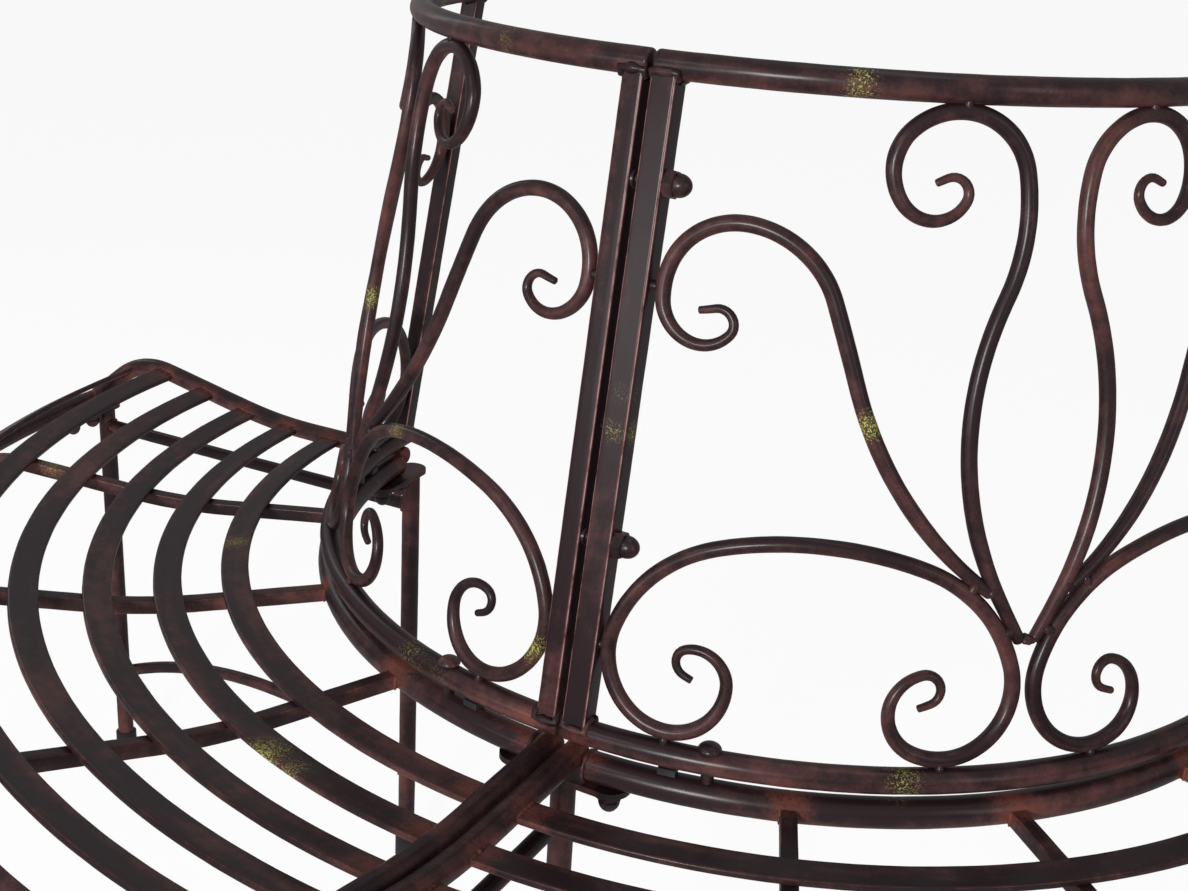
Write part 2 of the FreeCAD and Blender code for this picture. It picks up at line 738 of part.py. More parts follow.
def make_plates_and_studs():
    """Plates on the leg tops, and the studs and acorn nuts that hold the seat rails to them."""
    plates = []
    studs = []
    nuts = []
    downward = FreeCAD.Rotation(X_AXIS, 180)
    stud_height = size("plate_thickness") + GAP / 2
    seats = (("inner", size("inner_leg_radius"), PLATE_TOP),
             ("outer", size("outer_leg_radius"), RIM_UNDERSIDE))
    for place, azimuth in FRAMES.items():
        for name, radius, top in seats:
            bottom = top - size("plate_thickness")
            spot = station(azimuth, radius=radius, height=bottom)
            plates.append(feature("plate_%s_%s" % (name, place), plate_shape(place), spot))
            for number, offset in enumerate(stud_offsets(place)[0], start=1):
                tag = "%s_%s_%d" % (name, place, number)
                spot = station(azimuth, offset, radius, bottom)
                shank = prism(TUBE_SIDES, size("bolt_dia"), size("bolt_dia"), 0, stud_height)
                studs.append(feature("stud_" + tag, shank, spot))
                hung = FreeCAD.Placement(spot.Base, spot.Rotation.multiply(downward))
                nuts.append(feature("nut_" + tag, nut_shape(), hung))
    piece("leg_plates", group("plates", plates))
    piece("leg_studs", group("studs", studs))
    return nuts


# Fasteners


def nut_shape():
    """Hexagon nut closed by a tapered dome, seated on local Z = 0."""
    corner_dia = size("nut_width") / math.cos(math.pi / NUT_SIDES)
    top = size("nut_height")
    dome = size("nut_dome_dia")
    hexagon = prism(NUT_SIDES, corner_dia, corner_dia, 0, top)
    return hexagon.fuse(prism(TUBE_SIDES, dome, dome / 2, top, top + size("nut_dome_height")))


def bolt_shape(shank_length):
    """Low domed head seated on local Z = 0, with its shank below."""
    head = prism(TUBE_SIDES, size("bolt_head_dia"), size("bolt_head_dia") / 2, 0, size("bolt_head_height"))
    return head.fuse(prism(TUBE_SIDES, size("bolt_dia"), size("bolt_dia"), -shank_length, 0))


def make_post_bolts():
    """Two bolts that clamp the middle posts together, with acorn nuts on the right."""
    bolts = []
    nuts = []
    face = HALF_GAP + size("post_width") + GAP
    for number, word in enumerate(("post_bolt_low_height", "post_bolt_high_height"), start=1):
        rise = size(word)
        for members, label, shape, sense in ((nuts, "post_nut", nut_shape(), 1),
                                             (bolts, "post_bolt", bolt_shape(2 * face), -1)):
            spot = station(0, sense * face, back_radius(rise), RAIL_Z + rise)
            aim = spot.Rotation.multiply(FreeCAD.Rotation(X_AXIS, -90 * sense))
            members.append(feature("%s_%d" % (label, number), shape, FreeCAD.Placement(spot.Base, aim)))
    piece("post_bolts", group("post_bolt_pair", bolts))
    return nuts


def make_back_bolts():
    """Upright bolts that hold the backrest down on the seat rail, and the pads between the rails."""
    bolts = []
    pads = []
    rail_top = RAIL_Z + size("rail_dia") / 2
    play = GAP / 3
    pad_low = size("seat_rail_height") + size("seat_rail_dia") / 2 + play
    reach = HALF_SPAN - size("pad_angle")
    for side, azimuth in SEGMENTS.items():
        for number, at in enumerate(back_bolt_azimuths(azimuth), start=1):
            spot = station(at, radius=size("ring_radius"), height=rail_top + play)
            shape = bolt_shape(rail_top - size("seat_rail_height"))
            bolts.append(feature("back_bolt_%s_%d" % (side, number), shape, spot))
        for number, at in enumerate((azimuth - reach, azimuth + reach), start=1):
            pad = DOC.addObject("Part::Box", "pad_%s_%d" % (side, number))
            bind(pad, Length="Sizes.pad_width", Width="Sizes.pad_length",
                 Height="Sizes.seat_rail_gap - 2 * Sizes.weld_gap / 3")
            inner = size("ring_radius") - size("pad_width") / 2
            pad.Placement = station(at, -size("pad_length") / 2, inner, pad_low)
            pads.append(pad)
    piece("back_bolts", group("back_bolt_set", bolts))
    piece("rail_pads", group("pad_set", pads))


# Build and write the pieces


def check_document():
    """Stop on any object that failed and on any shape that isn't sound."""
    for thing in DOC.Objects:
        if "Invalid" in thing.State or "Error" in thing.State:
            raise RuntimeError("failed object: " + thing.Label)
    for node, thing in PIECES.items():
        shape = thing.Shape
        if shape.isNull() or not shape.isValid() or not shape.Solids:
            raise RuntimeError("unsound shape: " + node)


def write_parts():
    os.makedirs("parts", exist_ok=True)
    for node, thing in PIECES.items():
        thing.Shape.exportStep("parts/%s.step" % node)


def main():
    make_back_rails()
    make_posts()
    make_scrolls()
    make_seat()
    make_leg_frames()
    make_foot_caps()
    nuts = make_plates_and_studs() + make_post_bolts()
    piece("acorn_nuts", group("nuts", nuts))
    make_back_bolts()
    DOC.recompute()
    check_document()
    write_parts()
    print("nodes:", len(PIECES))


main()
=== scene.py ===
import math

import bmesh
import bpy
import numpy as np
from mathutils import Matrix, Vector, noise


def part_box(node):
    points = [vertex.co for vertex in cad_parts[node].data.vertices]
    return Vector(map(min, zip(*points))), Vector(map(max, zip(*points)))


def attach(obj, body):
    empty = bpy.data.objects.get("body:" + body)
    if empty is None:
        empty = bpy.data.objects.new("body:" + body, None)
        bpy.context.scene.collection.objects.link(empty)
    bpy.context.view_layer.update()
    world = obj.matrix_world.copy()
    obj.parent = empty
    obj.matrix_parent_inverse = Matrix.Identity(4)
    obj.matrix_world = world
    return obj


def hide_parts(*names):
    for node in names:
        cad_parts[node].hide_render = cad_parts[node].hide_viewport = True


bl_info = {
    "name": "Tree bench",
    "version": (1, 0, 0),
    "blender": (4, 5, 0),
    "location": "3D View > Sidebar > Tree bench",
    "description": "Dresses a half-round metal tree bench with its finishes, welds and fasteners",
    "category": "Add Mesh",
}

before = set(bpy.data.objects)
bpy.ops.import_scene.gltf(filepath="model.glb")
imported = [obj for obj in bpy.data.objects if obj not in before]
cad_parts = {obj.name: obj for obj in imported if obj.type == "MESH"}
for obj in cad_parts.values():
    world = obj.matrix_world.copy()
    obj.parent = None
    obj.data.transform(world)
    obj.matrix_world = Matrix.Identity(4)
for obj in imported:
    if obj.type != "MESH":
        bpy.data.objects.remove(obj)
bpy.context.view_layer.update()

BODY = "root"
PAINT_SLOT = "bronze_paint"
FASTENER_SLOT = "fastener_paint"
PLASTIC_SLOT = "black_plastic"
UP = Vector((0, 0, 1))
MM = 0.001
SHARP_ANGLE = math.radians(40)


# Sizes in metres, most of them read from the frame; round stock is given by its radius


def centre_of(node):
    """Middle of a node's box."""
    low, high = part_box(node)
    return (low + high) / 2


def thickness_of(node, axis=2):
    """Length of a node's box along an axis."""
    low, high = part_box(node)
    return high[axis] - low[axis]


MIDDLE_LEG = centre_of("inner_leg_middle")
RIGHT_LEG = centre_of("inner_leg_right")
SPAN = 2 * math.atan2(RIGHT_LEG.y - MIDDLE_LEG.y, RIGHT_LEG.x)
HALF_SPAN = SPAN / 2
INNER_LEG_RADIUS = RIGHT_LEG.x / math.sin(SPAN)
RING = Vector((0, MIDDLE_LEG.y + INNER_LEG_RADIUS, 0))
OUTER_LEG_RADIUS = RING.y - centre_of("outer_leg_middle").y
LEG_TUBE = thickness_of("inner_leg_middle", 0) / 2
HALF_GAP = 3 * MM
POST_SIDE = 14 * MM
END_TUBE = 8 * MM
WELD_GAP = 0.3 * MM
SEAT_END = HALF_GAP + 2 * END_TUBE
END_TUBE_OFFSET = HALF_GAP + END_TUBE
POST_OFFSET = HALF_GAP + POST_SIDE / 2
SEGMENTS = {"right": HALF_SPAN, "left": -HALF_SPAN}
FRAMES = {"middle": 0.0, "right": SPAN, "left": -SPAN}
LEGS = {"inner_leg": INNER_LEG_RADIUS, "outer_leg": OUTER_LEG_RADIUS}


class Rail:
    """Centre line of a tube that runs round the ring."""

    def __init__(self, name, end_offset):
        node = name + "_right"
        low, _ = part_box(node)
        self.name = name
        self.end_offset = end_offset
        self.tube = thickness_of(node) / 2
        self.height = centre_of(node).z
        self.radius = math.hypot(RING.y - low.y, end_offset) - self.tube


TOP = Rail("top_rail", HALF_GAP)
BOTTOM = Rail("bottom_rail", HALF_GAP)
SEAT_RAIL = Rail("seat_rail", SEAT_END)
RIM = Rail("rim_rail", HALF_GAP)
BACK_RISE = TOP.height - BOTTOM.height
LEAN = math.atan2(BOTTOM.radius - TOP.radius, BACK_RISE)
CROSS_BAR = thickness_of("cross_bar_middle") / 2
CROSS_BAR_HEIGHT = centre_of("cross_bar_middle").z
STRETCHER = thickness_of("stretcher_middle", 0) / 2


def radial(azimuth):
    """Outward direction at an azimuth, which is 0 at the front of the bench."""
    return Vector((math.sin(azimuth), -math.cos(azimuth), 0))


def tangent(azimuth):
    """Direction along the ring at an azimuth, to the right as seen from the front."""
    return Vector((math.cos(azimuth), math.sin(azimuth), 0))


def station(azimuth, radius=0.0, offset=0.0, height=0.0):
    """Point at a radius and height on a radial plane, moved along the ring by an offset."""
    return RING + radial(azimuth) * radius + tangent(azimuth) * offset + UP * height


def outward(point):
    """Horizontal direction away from the ring's axis."""
    return Vector((point.x - RING.x, point.y - RING.y, 0)).normalized()


def back_normal(point):
    """Direction square to the leaning backrest."""
    return outward(point) * math.cos(LEAN) + UP * math.sin(LEAN)


def segment_ends():
    """Every end of a segment: side, place, azimuth, and the sense that points past the end."""
    for side, azimuth in SEGMENTS.items():
        inward = 1 if side == "right" else -1
        for place, sense in (("middle", -inward), ("end", inward)):
            yield side, place, azimuth + sense * HALF_SPAN, sense


# Section of the seat: flat, bent up, straight, rolled over the crest and down to the rim


SEAT_FLAT = 95 * MM
SEAT_BEND = 420 * MM
SEAT_RISE = math.radians(11)
SEAT_CREST = 70 * MM
SEAT_FALL = math.radians(50) - SEAT_RISE
SEAT_OVERRUN = 6 * MM


class SeatLine:
    """Centre line of the end tubes as height and slope over radius."""

    def __init__(self):
        self.inner = BOTTOM.radius - SEAT_OVERRUN
        self.level = BOTTOM.height - BOTTOM.tube - WELD_GAP - END_TUBE
        self.flat = BOTTOM.radius + SEAT_FLAT
        self.rise = self.flat + SEAT_BEND * math.sin(SEAT_RISE)
        self.rise_height = self.level + SEAT_BEND * (1 - math.cos(SEAT_RISE))
        drop = SEAT_CREST * (math.cos(SEAT_RISE) - math.cos(SEAT_FALL))
        wide = SEAT_CREST * (math.sin(SEAT_RISE) + math.sin(SEAT_FALL))
        total = RIM.radius - self.rise - wide
        climb = RIM.height - self.rise_height + drop
        nose = (total * math.tan(SEAT_RISE) - climb) / (math.tan(SEAT_RISE) + math.tan(SEAT_FALL))
        self.fall = RIM.radius - nose
        self.fall_height = RIM.height + nose * math.tan(SEAT_FALL)
        self.top = self.fall - wide
        self.hub = self.top + SEAT_CREST * math.sin(SEAT_RISE)
        self.hub_height = self.fall_height - SEAT_CREST * math.cos(SEAT_FALL)

    def at(self, radius):
        """Height and slope of the line at a radius."""
        if radius <= self.flat:
            return self.level, 0.0
        if radius <= self.rise:
            angle = math.asin((radius - self.flat) / SEAT_BEND)
            return self.level + SEAT_BEND * (1 - math.cos(angle)), angle
        if radius <= self.top:
            return self.rise_height + (radius - self.rise) * math.tan(SEAT_RISE), SEAT_RISE
        if radius <= self.fall:
            angle = math.asin((self.hub - radius) / SEAT_CREST)
            return self.hub_height + SEAT_CREST * math.cos(angle), angle
        return self.fall_height - (radius - self.fall) * math.tan(SEAT_FALL), -SEAT_FALL

    def path(self, azimuth, offset, shift, low, high, step):
        """Points at an azimuth and offset along the ring, with the line moved off square by a shift."""
        count = max(2, int((high - low) / step))
        points = []
        for i in range(count + 1):
            radius = low + (high - low) * i / count
            height, slope = self.at(radius)
            points.append(station(azimuth, radius - shift * math.sin(slope), offset,
                                  height + shift * math.cos(slope)))
        return points


SEAT = SeatLine()


# Sizes and colours that the user may change


class TreeBenchSizes(bpy.types.PropertyGroup):
    """Sizes of the bench's details, in metres"""
    rail_step: bpy.props.FloatProperty(
        name="Step along rails", description="Distance between rings of a rail's mesh",
        default=0.004, unit="LENGTH", precision=4)
    rod_step: bpy.props.FloatProperty(
        name="Step along scrolls", description="Distance between rings of a scroll's mesh",
        default=0.0022, unit="LENGTH", precision=4)
    unevenness: bpy.props.FloatProperty(
        name="Unevenness", description="How far the painted metal departs from a true tube",
        default=0.00012, unit="LENGTH", precision=5)
    bead: bpy.props.FloatProperty(
        name="Weld bead", description="Half the width of a weld bead",
        default=0.0019, unit="LENGTH", precision=4)
    slat_width: bpy.props.FloatProperty(
        name="Slat width", description="Width of a seat slat", default=0.020, unit="LENGTH", precision=4)
    slat_thickness: bpy.props.FloatProperty(
        name="Slat thickness", description="Thickness of a seat slat",
        default=0.0045, unit="LENGTH", precision=4)
    slat_edge: bpy.props.FloatProperty(
        name="Slat edge", description="Rounding of a slat's long edges",
        default=0.0014, unit="LENGTH", precision=4)
    post_corner: bpy.props.FloatProperty(
        name="Post corner", description="Rounding of a post's corners",
        default=0.0018, unit="LENGTH", precision=4)
    bar_side: bpy.props.FloatProperty(
        name="Bearer bar", description="Side of a square bearer bar",
        default=0.010, unit="LENGTH", precision=4)


class TreeBenchColours(bpy.types.PropertyGroup):
    """Colours of the bench's finishes"""
    paint: bpy.props.FloatVectorProperty(
        name="Paint", description="Dark bronze of the painted tubes", subtype="COLOR",
        default=(0.0108, 0.0054, 0.0064), min=0, max=1)
    warm_paint: bpy.props.FloatVectorProperty(
        name="Warm paint", description="Browner patches of the paint", subtype="COLOR",
        default=(0.055, 0.0225, 0.0205), min=0, max=1)
    rubbed: bpy.props.FloatVectorProperty(
        name="Rubbed edge", description="Reddish brown where the paint is rubbed through", subtype="COLOR",
        default=(0.115, 0.033, 0.022), min=0, max=1)
    verdigris: bpy.props.FloatVectorProperty(
        name="Verdigris", description="Yellow green speckle of the antique finish", subtype="COLOR",
        default=(0.30, 0.275, 0.070), min=0, max=1)
    tarnish: bpy.props.FloatVectorProperty(
        name="Tarnish", description="Dull green round the verdigris speckle", subtype="COLOR",
        default=(0.055, 0.052, 0.025), min=0, max=1)
    # Painted highlight: pale colour of the line along a post's rounded edges, standing in for the lamps'
    # reflection
    painted_edge_highlight: bpy.props.FloatVectorProperty(
        name="Painted edge highlight", description="Pale line along a post's edges", subtype="COLOR",
        default=(0.260, 0.200, 0.205), min=0, max=1)
    plastic: bpy.props.FloatVectorProperty(
        name="Plastic", description="Moulded foot caps and pads", subtype="COLOR",
        default=(0.012, 0.011, 0.012), min=0, max=1)


def sizes():
    """Sizes as the user has set them."""
    return bpy.context.scene.tree_bench_sizes


# Places of wear: each has a centre, the distance it reaches and a level


WELDS = []
VERDIGRIS = []

# Degrees round the ring, then radius, height and reach in millimetres, then level
SPECKLES = ((22, 297, 833, 16, 0.75), (-20, 297, 833, 13, 0.6), (1.6, 328, 629, 15, 1.0),
            (1.9, 328, 652, 12, 0.5), (-1.9, 316, 710, 12, 0.4), (26.5, 326, 652, 15, 0.8),
            (32.6, 360, 445, 20, 0.55), (-4.2, 353, 487, 16, 0.7), (-30, 339, 577, 18, 0.5),
            (-54.4, 431, 429, 24, 0.45), (-17, 488, 430, 26, 0.6), (-14, 486, 430, 18, 0.45),
            (-19.6, 360, 445, 26, 0.35), (-15, 360, 445, 20, 0.3), (-51, 330, 633, 14, 0.6),
            (16, 545, 440, 26, 0.5), (40, 600, 448, 26, 0.5), (62, 470, 430, 20, 0.5),
            (-70, 297, 833, 18, 0.7), (70, 297, 833, 18, 0.7), (-66, 600, 448, 24, 0.5),
            (-62, 345, 540, 14, 0.6))


def note_verdigris():
    """Remember where the paint has its yellow green speckle."""
    for turn, radius, height, reach, level in SPECKLES:
        VERDIGRIS.append((station(math.radians(turn), radius * MM, 0, height * MM), reach * MM, level))


# Meshes


class Skin:
    """Vertices, faces, edge level (real wear, and on posts also a painted highlight line) and flow of a piece
    under construction.
    """

    def __init__(self):
        self.points = []
        self.faces = []
        self.rub_and_highlight = []
        self.flow = []

    def loft(self, rings, rub_and_highlight, closed=False, flow=None):
        """Join rings of equal length, and close the ends unless the last ring meets the first."""
        first = len(self.points)
        sides = len(rings[0])
        for ring in rings:
            self.points.extend(ring)
            self.rub_and_highlight.extend(rub_and_highlight)
        for ring in flow or rings:
            self.flow.extend(ring)
        pairs = [(i, i + 1) for i in range(len(rings) - 1)]
        if closed:
            pairs.append((len(rings) - 1, 0))
        for near, far in pairs:
            a = first + near * sides
            b = first + far * sides
            for k in range(sides):
                n = (k + 1) % sides
                self.faces.append((a + k, a + n, b + n, b + k))
        if not closed:
            last = first + (len(rings) - 1) * sides
            self.faces.append(tuple(reversed(range(first, first + sides))))
            self.faces.append(tuple(range(last, last + sides)))


def round_section(radius, sides):
    """Circle with no rubbed edge."""
    return [(radius * math.cos(2 * math.pi * i / sides), radius * math.sin(2 * math.pi * i / sides), 0.0)
            for i in range(sides)]


def bar_section(depth, width, edge, worn, flat_steps=3):
    """Rectangle with rounded corners, worn by so much at their middle, and points along its flats; a wear
    level above about 1.35 also paints a pale highlight line along the corners.
    """
    corner_steps = 4
    corners = []
    for sx, sy, start in ((1, 1, 0), (-1, 1, 90), (-1, -1, 180), (1, -1, 270)):
        corner = []
        for i in range(corner_steps + 1):
            share = i / corner_steps
            turn = math.radians(start + 90 * share)
            corner.append((sx * (depth / 2 - edge) + edge * math.cos(turn),
                           sy * (width / 2 - edge) + edge * math.sin(turn),
                           worn * (1 - abs(2 * share - 1))))
        corners.append(corner)
    points = []
    for corner, after in zip(corners, corners[1:] + corners[:1]):
        points.extend(corner)
        for i in range(1, flat_steps + 1):
            share = i / (flat_steps + 1)
            points.append((corner[-1][0] + (after[0][0] - corner[-1][0]) * share,
                           corner[-1][1] + (after[0][1] - corner[-1][1]) * share, 0.0))
    return points


def line_frames(path, reference, closed=False):
    """Direction of a path and two directions across it at each point."""
    frames = []
    count = len(path)
    for i, point in enumerate(path):
        if closed:
            ahead = (path[(i + 1) % count] - path[i - 1]).normalized()
        else:
            ahead = (path[min(i + 1, count - 1)] - path[max(i - 1, 0)]).normalized()
        across = reference(point)
        across = (across - ahead * across.dot(ahead)).normalized()
        frames.append((ahead, across, ahead.cross(across)))
    return frames


# Streaks of the paint: how fast they change along a piece, and how far apart pieces lie in them
FLOW_STRETCH = 0.16
FLOW_SPREAD = 7.0

# Broad and fine lumps of the painted metal, in waves per metre
BROAD_LUMPS = 45
FINE_LUMPS = 160


def sweep(skin, path, section, reference, swell=None, ease=0.0, rough=0.0, closed=False):
    """Carry a section along a path, its first axis turned to what reference gives for a point.

    Swell scales the section at each point, ease rounds both ends over that distance, and rough is
    the height of the lumps.
    """
    frames = line_frames(path, reference, closed)
    size = max(math.hypot(a, b) for a, b, _ in section)
    swell = swell or [1.0] * len(path)
    plan = list(zip(path, frames, swell))
    if ease and not closed:
        start, end = plan[0], plan[-1]
        rounds = [(math.sin(math.radians(turn)), 1 - ease / size * (1 - math.cos(math.radians(turn))))
                  for turn in (30, 60, 90)]
        before = [(start[0] - start[1][0] * ease * out, start[1], start[2] * scale)
                  for out, scale in reversed(rounds)]
        after = [(end[0] + end[1][0] * ease * out, end[1], end[2] * scale) for out, scale in rounds]
        plan = before + plan + after
    rings = []
    flow = []
    run = Vector(path[0]) * FLOW_SPREAD
    last = plan[0][0]
    for point, (_, across, other), scale in plan:
        ring = []
        run.x += (point - last).length * FLOW_STRETCH
        last = point
        flow.append([run + Vector((0, a, b)) for a, b, _ in section])
        for a, b, _ in section:
            away = across * a + other * b
            spot = point + away * scale
            if rough:
                lump = noise.noise(spot * BROAD_LUMPS) + 0.5 * noise.noise(spot * FINE_LUMPS)
                spot += away.normalized() * (rough * lump)
            ring.append(spot)
        rings.append(ring)
    skin.loft(rings, [worn for _, _, worn in section], closed, flow)


def arc_path(azimuth_from, azimuth_to, radius, height, step):
    """Points along a level arc of the ring."""
    count = max(4, int(abs(azimuth_to - azimuth_from) * radius / step))
    return [station(azimuth_from + (azimuth_to - azimuth_from) * i / count, radius, 0, height)
            for i in range(count + 1)]


def line_path(start, end, step):
    """Points along a straight line."""
    count = max(2, int((end - start).length / step))
    return [start.lerp(end, i / count) for i in range(count + 1)]


def nearness(points, places):
    """A place's own level at its centre, falling to 0 at its reach, for each point."""
    found = np.zeros(len(points))
    for centre, reach, level in places:
        near = 1 - np.linalg.norm(points - np.array(centre), axis=1) / reach
        found = np.maximum(found, near * level)
    return np.clip(found, 0, 1)


def note_levels(data, rub_and_highlight, flow, rust=0.0):
    """Give a mesh the attributes that its paint reads; a rust below 0 makes the paint cooler."""
    points = np.array([tuple(vertex.co) for vertex in data.vertices])
    # The edge level holds the real wear and, on posts, the painted highlight line
    levels = {"rub_and_highlight": np.array(rub_and_highlight),
              "rust": np.maximum(nearness(points, WELDS), rust) + min(rust, 0.0),
              "patina": nearness(points, VERDIGRIS)}
    for label, values in levels.items():
        data.attributes.new(label, "FLOAT", "POINT").data.foreach_set("value", values.astype(np.float32))
    run = np.array([tuple(place) for place in flow], dtype=np.float32)
    data.attributes.new("flow", "FLOAT_VECTOR", "POINT").data.foreach_set("vector", run.ravel())


def placed(name, data):
    """New object in the scene."""
    thing = bpy.data.objects.new(name, data)
    bpy.context.scene.collection.objects.link(thing)
    return thing


def finish_piece(name, skin, material_name, nodes=(), rust=0.0):
    """Turn a skin into a shaded piece that rides on the bench and stands for its nodes."""
    data = bpy.data.meshes.new(name)
    data.from_pydata(skin.points, [], skin.faces)
    mesh = bmesh.new()
    mesh.from_mesh(data)
    bmesh.ops.recalc_face_normals(mesh, faces=mesh.faces)
    mesh.to_mesh(data)
    mesh.free()
    data.shade_smooth()
    data.set_sharp_from_angle(angle=SHARP_ANGLE)
    note_levels(data, skin.rub_and_highlight, skin.flow, rust)
    data.materials.append(material(material_name))
    thing = placed(name, data)
    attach(thing, BODY)
    if nodes:
        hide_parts(*nodes)


def finish_node(node, skin, slot=PAINT_SLOT, rust=0.0):
    """Finish a skin as the piece that stands for one node."""
    finish_piece(node + "_painted", skin, slot, [node], rust)


def swept_node(node, path, section, reference, rust=0.0, **shape):
    """Sweep a section along a path into the painted piece that stands for one node."""
    skin = Skin()
    sweep(skin, path, section, reference, rough=sizes().unevenness, **shape)
    finish_node(node, skin, rust=rust)


# Scrolls, drawn flat in millimetres: along the left half of a panel, and above the bottom rail's middle

# The drawing's outer edge at the foot and at the head, and the height between these two
DRAWN_FOOT = 254.4
DRAWN_HEAD = 206.0
DRAWN_HEIGHT = 388.0

# Where a rod touches the bottom rail and the top rail, and where it lies beside the panel's middle
DRAWN_LOW = 11.8
DRAWN_HIGH = 375.7
DRAWN_MIDDLE = 5.3

ROD = 9.5 * MM / 2
ROD_SIDES = 20
ROD_EASE = 1.2 * MM

# A rod thins over the first distance to the share of its size that is left at its end
TIP_TAPER = (95 * MM, 0.48)
END_TAPER = (60 * MM, 0.80)

# Start, heading in degrees, arcs of radius and degrees turned, and the taper at the far end
SCROLLS = {
    "lower_scroll": ((-196.9, 46.6), 158.2,
                     ((86.5, -2.9), (8.4, -134.0), (18.4, -116.5), (36.1, -146.2), (42.8, -49.4),
                      (101.0, -51.9), (185.3, -37.0), (88.3, -54.3), (42.5, -129.8), (25.3, -141.8),
                      (9.2, -171.8), (84.4, -4.8)), TIP_TAPER),
    "middle_scroll": ((-196.9, 259.7), 10.8,
                      ((162.3, 3.2), (8.3, -144.9), (22.7, -137.6), (46.0, -95.7), (54.8, -67.8),
                       (1822.9, -1.5), (213.6, 38.6)), END_TAPER),
    "upper_scroll": ((-70.1, 339.6), 26.3,
                     ((121.3, -2.7), (8.7, -142.3), (20.7, -115.6), (29.7, -82.7), (39.1, -121.7),
                      (112.9, -35.0), (192.2, 52.5), (900, 1.9)), END_TAPER),
}


def panel_point(azimuth, along, above, mirrored):
    """Point of the flat drawing carried onto the leaning, conical backrest."""
    low = (BOTTOM.tube + ROD + WELD_GAP) * math.cos(LEAN)
    high = BACK_RISE - low
    rise = low + (above - DRAWN_LOW) * (high - low) / (DRAWN_HIGH - DRAWN_LOW)
    radius = BOTTOM.radius - rise * math.tan(LEAN)
    middle = ROD + 2 * WELD_GAP
    edge = (HALF_SPAN - math.asin((HALF_GAP + POST_SIDE) / radius)) * radius - middle
    drawn_edge = DRAWN_FOOT - (DRAWN_FOOT - DRAWN_HEAD) * above / DRAWN_HEIGHT
    share = (-along - DRAWN_MIDDLE) / (drawn_edge - DRAWN_MIDDLE)
    arc = middle + share * (edge - middle)
    if not mirrored:
        arc = -arc
    return station(azimuth + arc / radius, radius, 0, BOTTOM.height + rise)


def scroll_path(azimuth, name, mirrored, step):
    """Centre line of a scroll rod, and how much of the rod's size is left at each point."""
    (along, above), heading, arcs, last_taper = SCROLLS[name]
    heading = math.radians(heading)
    flat = [(along, above)]
    for radius, turn in arcs:
        count = max(2, math.ceil(radius * MM * math.radians(abs(turn)) / step))
        change = math.radians(turn) / count
        side = math.copysign(radius, turn)
        for _ in range(count):
            along += side * (math.sin(heading + change) - math.sin(heading))
            above -= side * (math.cos(heading + change) - math.cos(heading))
            heading += change
            flat.append((along, above))
    path = [panel_point(azimuth, u, v, mirrored) for u, v in flat]
    run = [0.0]
    for here, after in zip(path, path[1:]):
        run.append(run[-1] + (after - here).length)
    swell = [min(tapered(place, TIP_TAPER), tapered(run[-1] - place, last_taper)) for place in run]
    return path, swell


def tapered(distance, taper):
    """Share of a rod's size at a distance from its end."""
    reach, share = taper
    return share + (1 - share) * min(1.0, distance / reach)


# Shader maths


class Graph:
    """Builds the nodes of one node tree."""

    def __init__(self, tree):
        self.tree = tree
        tree.nodes.clear()

    def node(self, kind, settings=None, sockets=None):
        """Add a node: its settings first, then the values or links of its sockets."""
        made = self.tree.nodes.new(kind)
        for name, value in (settings or {}).items():
            setattr(made, name, value)
        for name, value in (sockets or {}).items():
            if isinstance(value, Socket):
                self.tree.links.new(value.socket, made.inputs[name])
            else:
                made.inputs[name].default_value = value
        return made

    def out(self, kind, output, settings=None, sockets=None):
        """Add a node and hand over one of its outputs."""
        return Socket(self, self.node(kind, settings, sockets).outputs[output])

    def mix(self, factor, first, second):
        """Blend two colours; the colour sockets of a Mix node are its inputs 6 and 7."""
        return self.out("ShaderNodeMix", 2, {"data_type": "RGBA"}, {0: factor, 6: first, 7: second})


class Socket:
    """Output of a node that takes part in Python arithmetic."""

    def __init__(self, graph, socket):
        self.graph = graph
        self.socket = socket

    def _math(self, operation, first, second, clamp=False):
        return self.graph.out("ShaderNodeMath", 0, {"operation": operation, "use_clamp": clamp},
                              {0: first, 1: second})

    def __add__(self, other):
        return self._math("ADD", self, other)

    def __radd__(self, other):
        return self._math("ADD", other, self)

    def __sub__(self, other):
        return self._math("SUBTRACT", self, other)

    def __rsub__(self, other):
        return self._math("SUBTRACT", other, self)

    def __mul__(self, other):
        return self._math("MULTIPLY", self, other)

    def __rmul__(self, other):
        return self._math("MULTIPLY", other, self)

    def between(self, low, high):
        """Smooth step from 0 at low to 1 at high."""
        return self.graph.out("ShaderNodeMapRange", 0, {"interpolation_type": "SMOOTHSTEP"},
                              {"Value": self, "From Min": low, "From Max": high})

    def clamp(self):
        return self._math("ADD", self, 0.0, True)


def grain(graph, place, scale, detail=2.0, rough=0.55):
    """Noise with so many waves per unit of its place."""
    return graph.out("ShaderNodeTexNoise", 0, None,
                     {"Vector": place, "Scale": scale, "Detail": detail, "Roughness": rough})


def attribute(graph, name, output="Fac"):
    """Value that the mesh holds under a name."""
    return graph.out("ShaderNodeAttribute", output, {"attribute_name": name})


def opaque(colour, share=1.0):
    """Colour without transparency, as a share of its brightness."""
    return (*(part * share for part in colour), 1.0)


def new_material(name):
    """Material, and the graph that builds its nodes."""
    made = bpy.data.materials.new(name)
    made.use_nodes = True
    return made, Graph(made.node_tree)


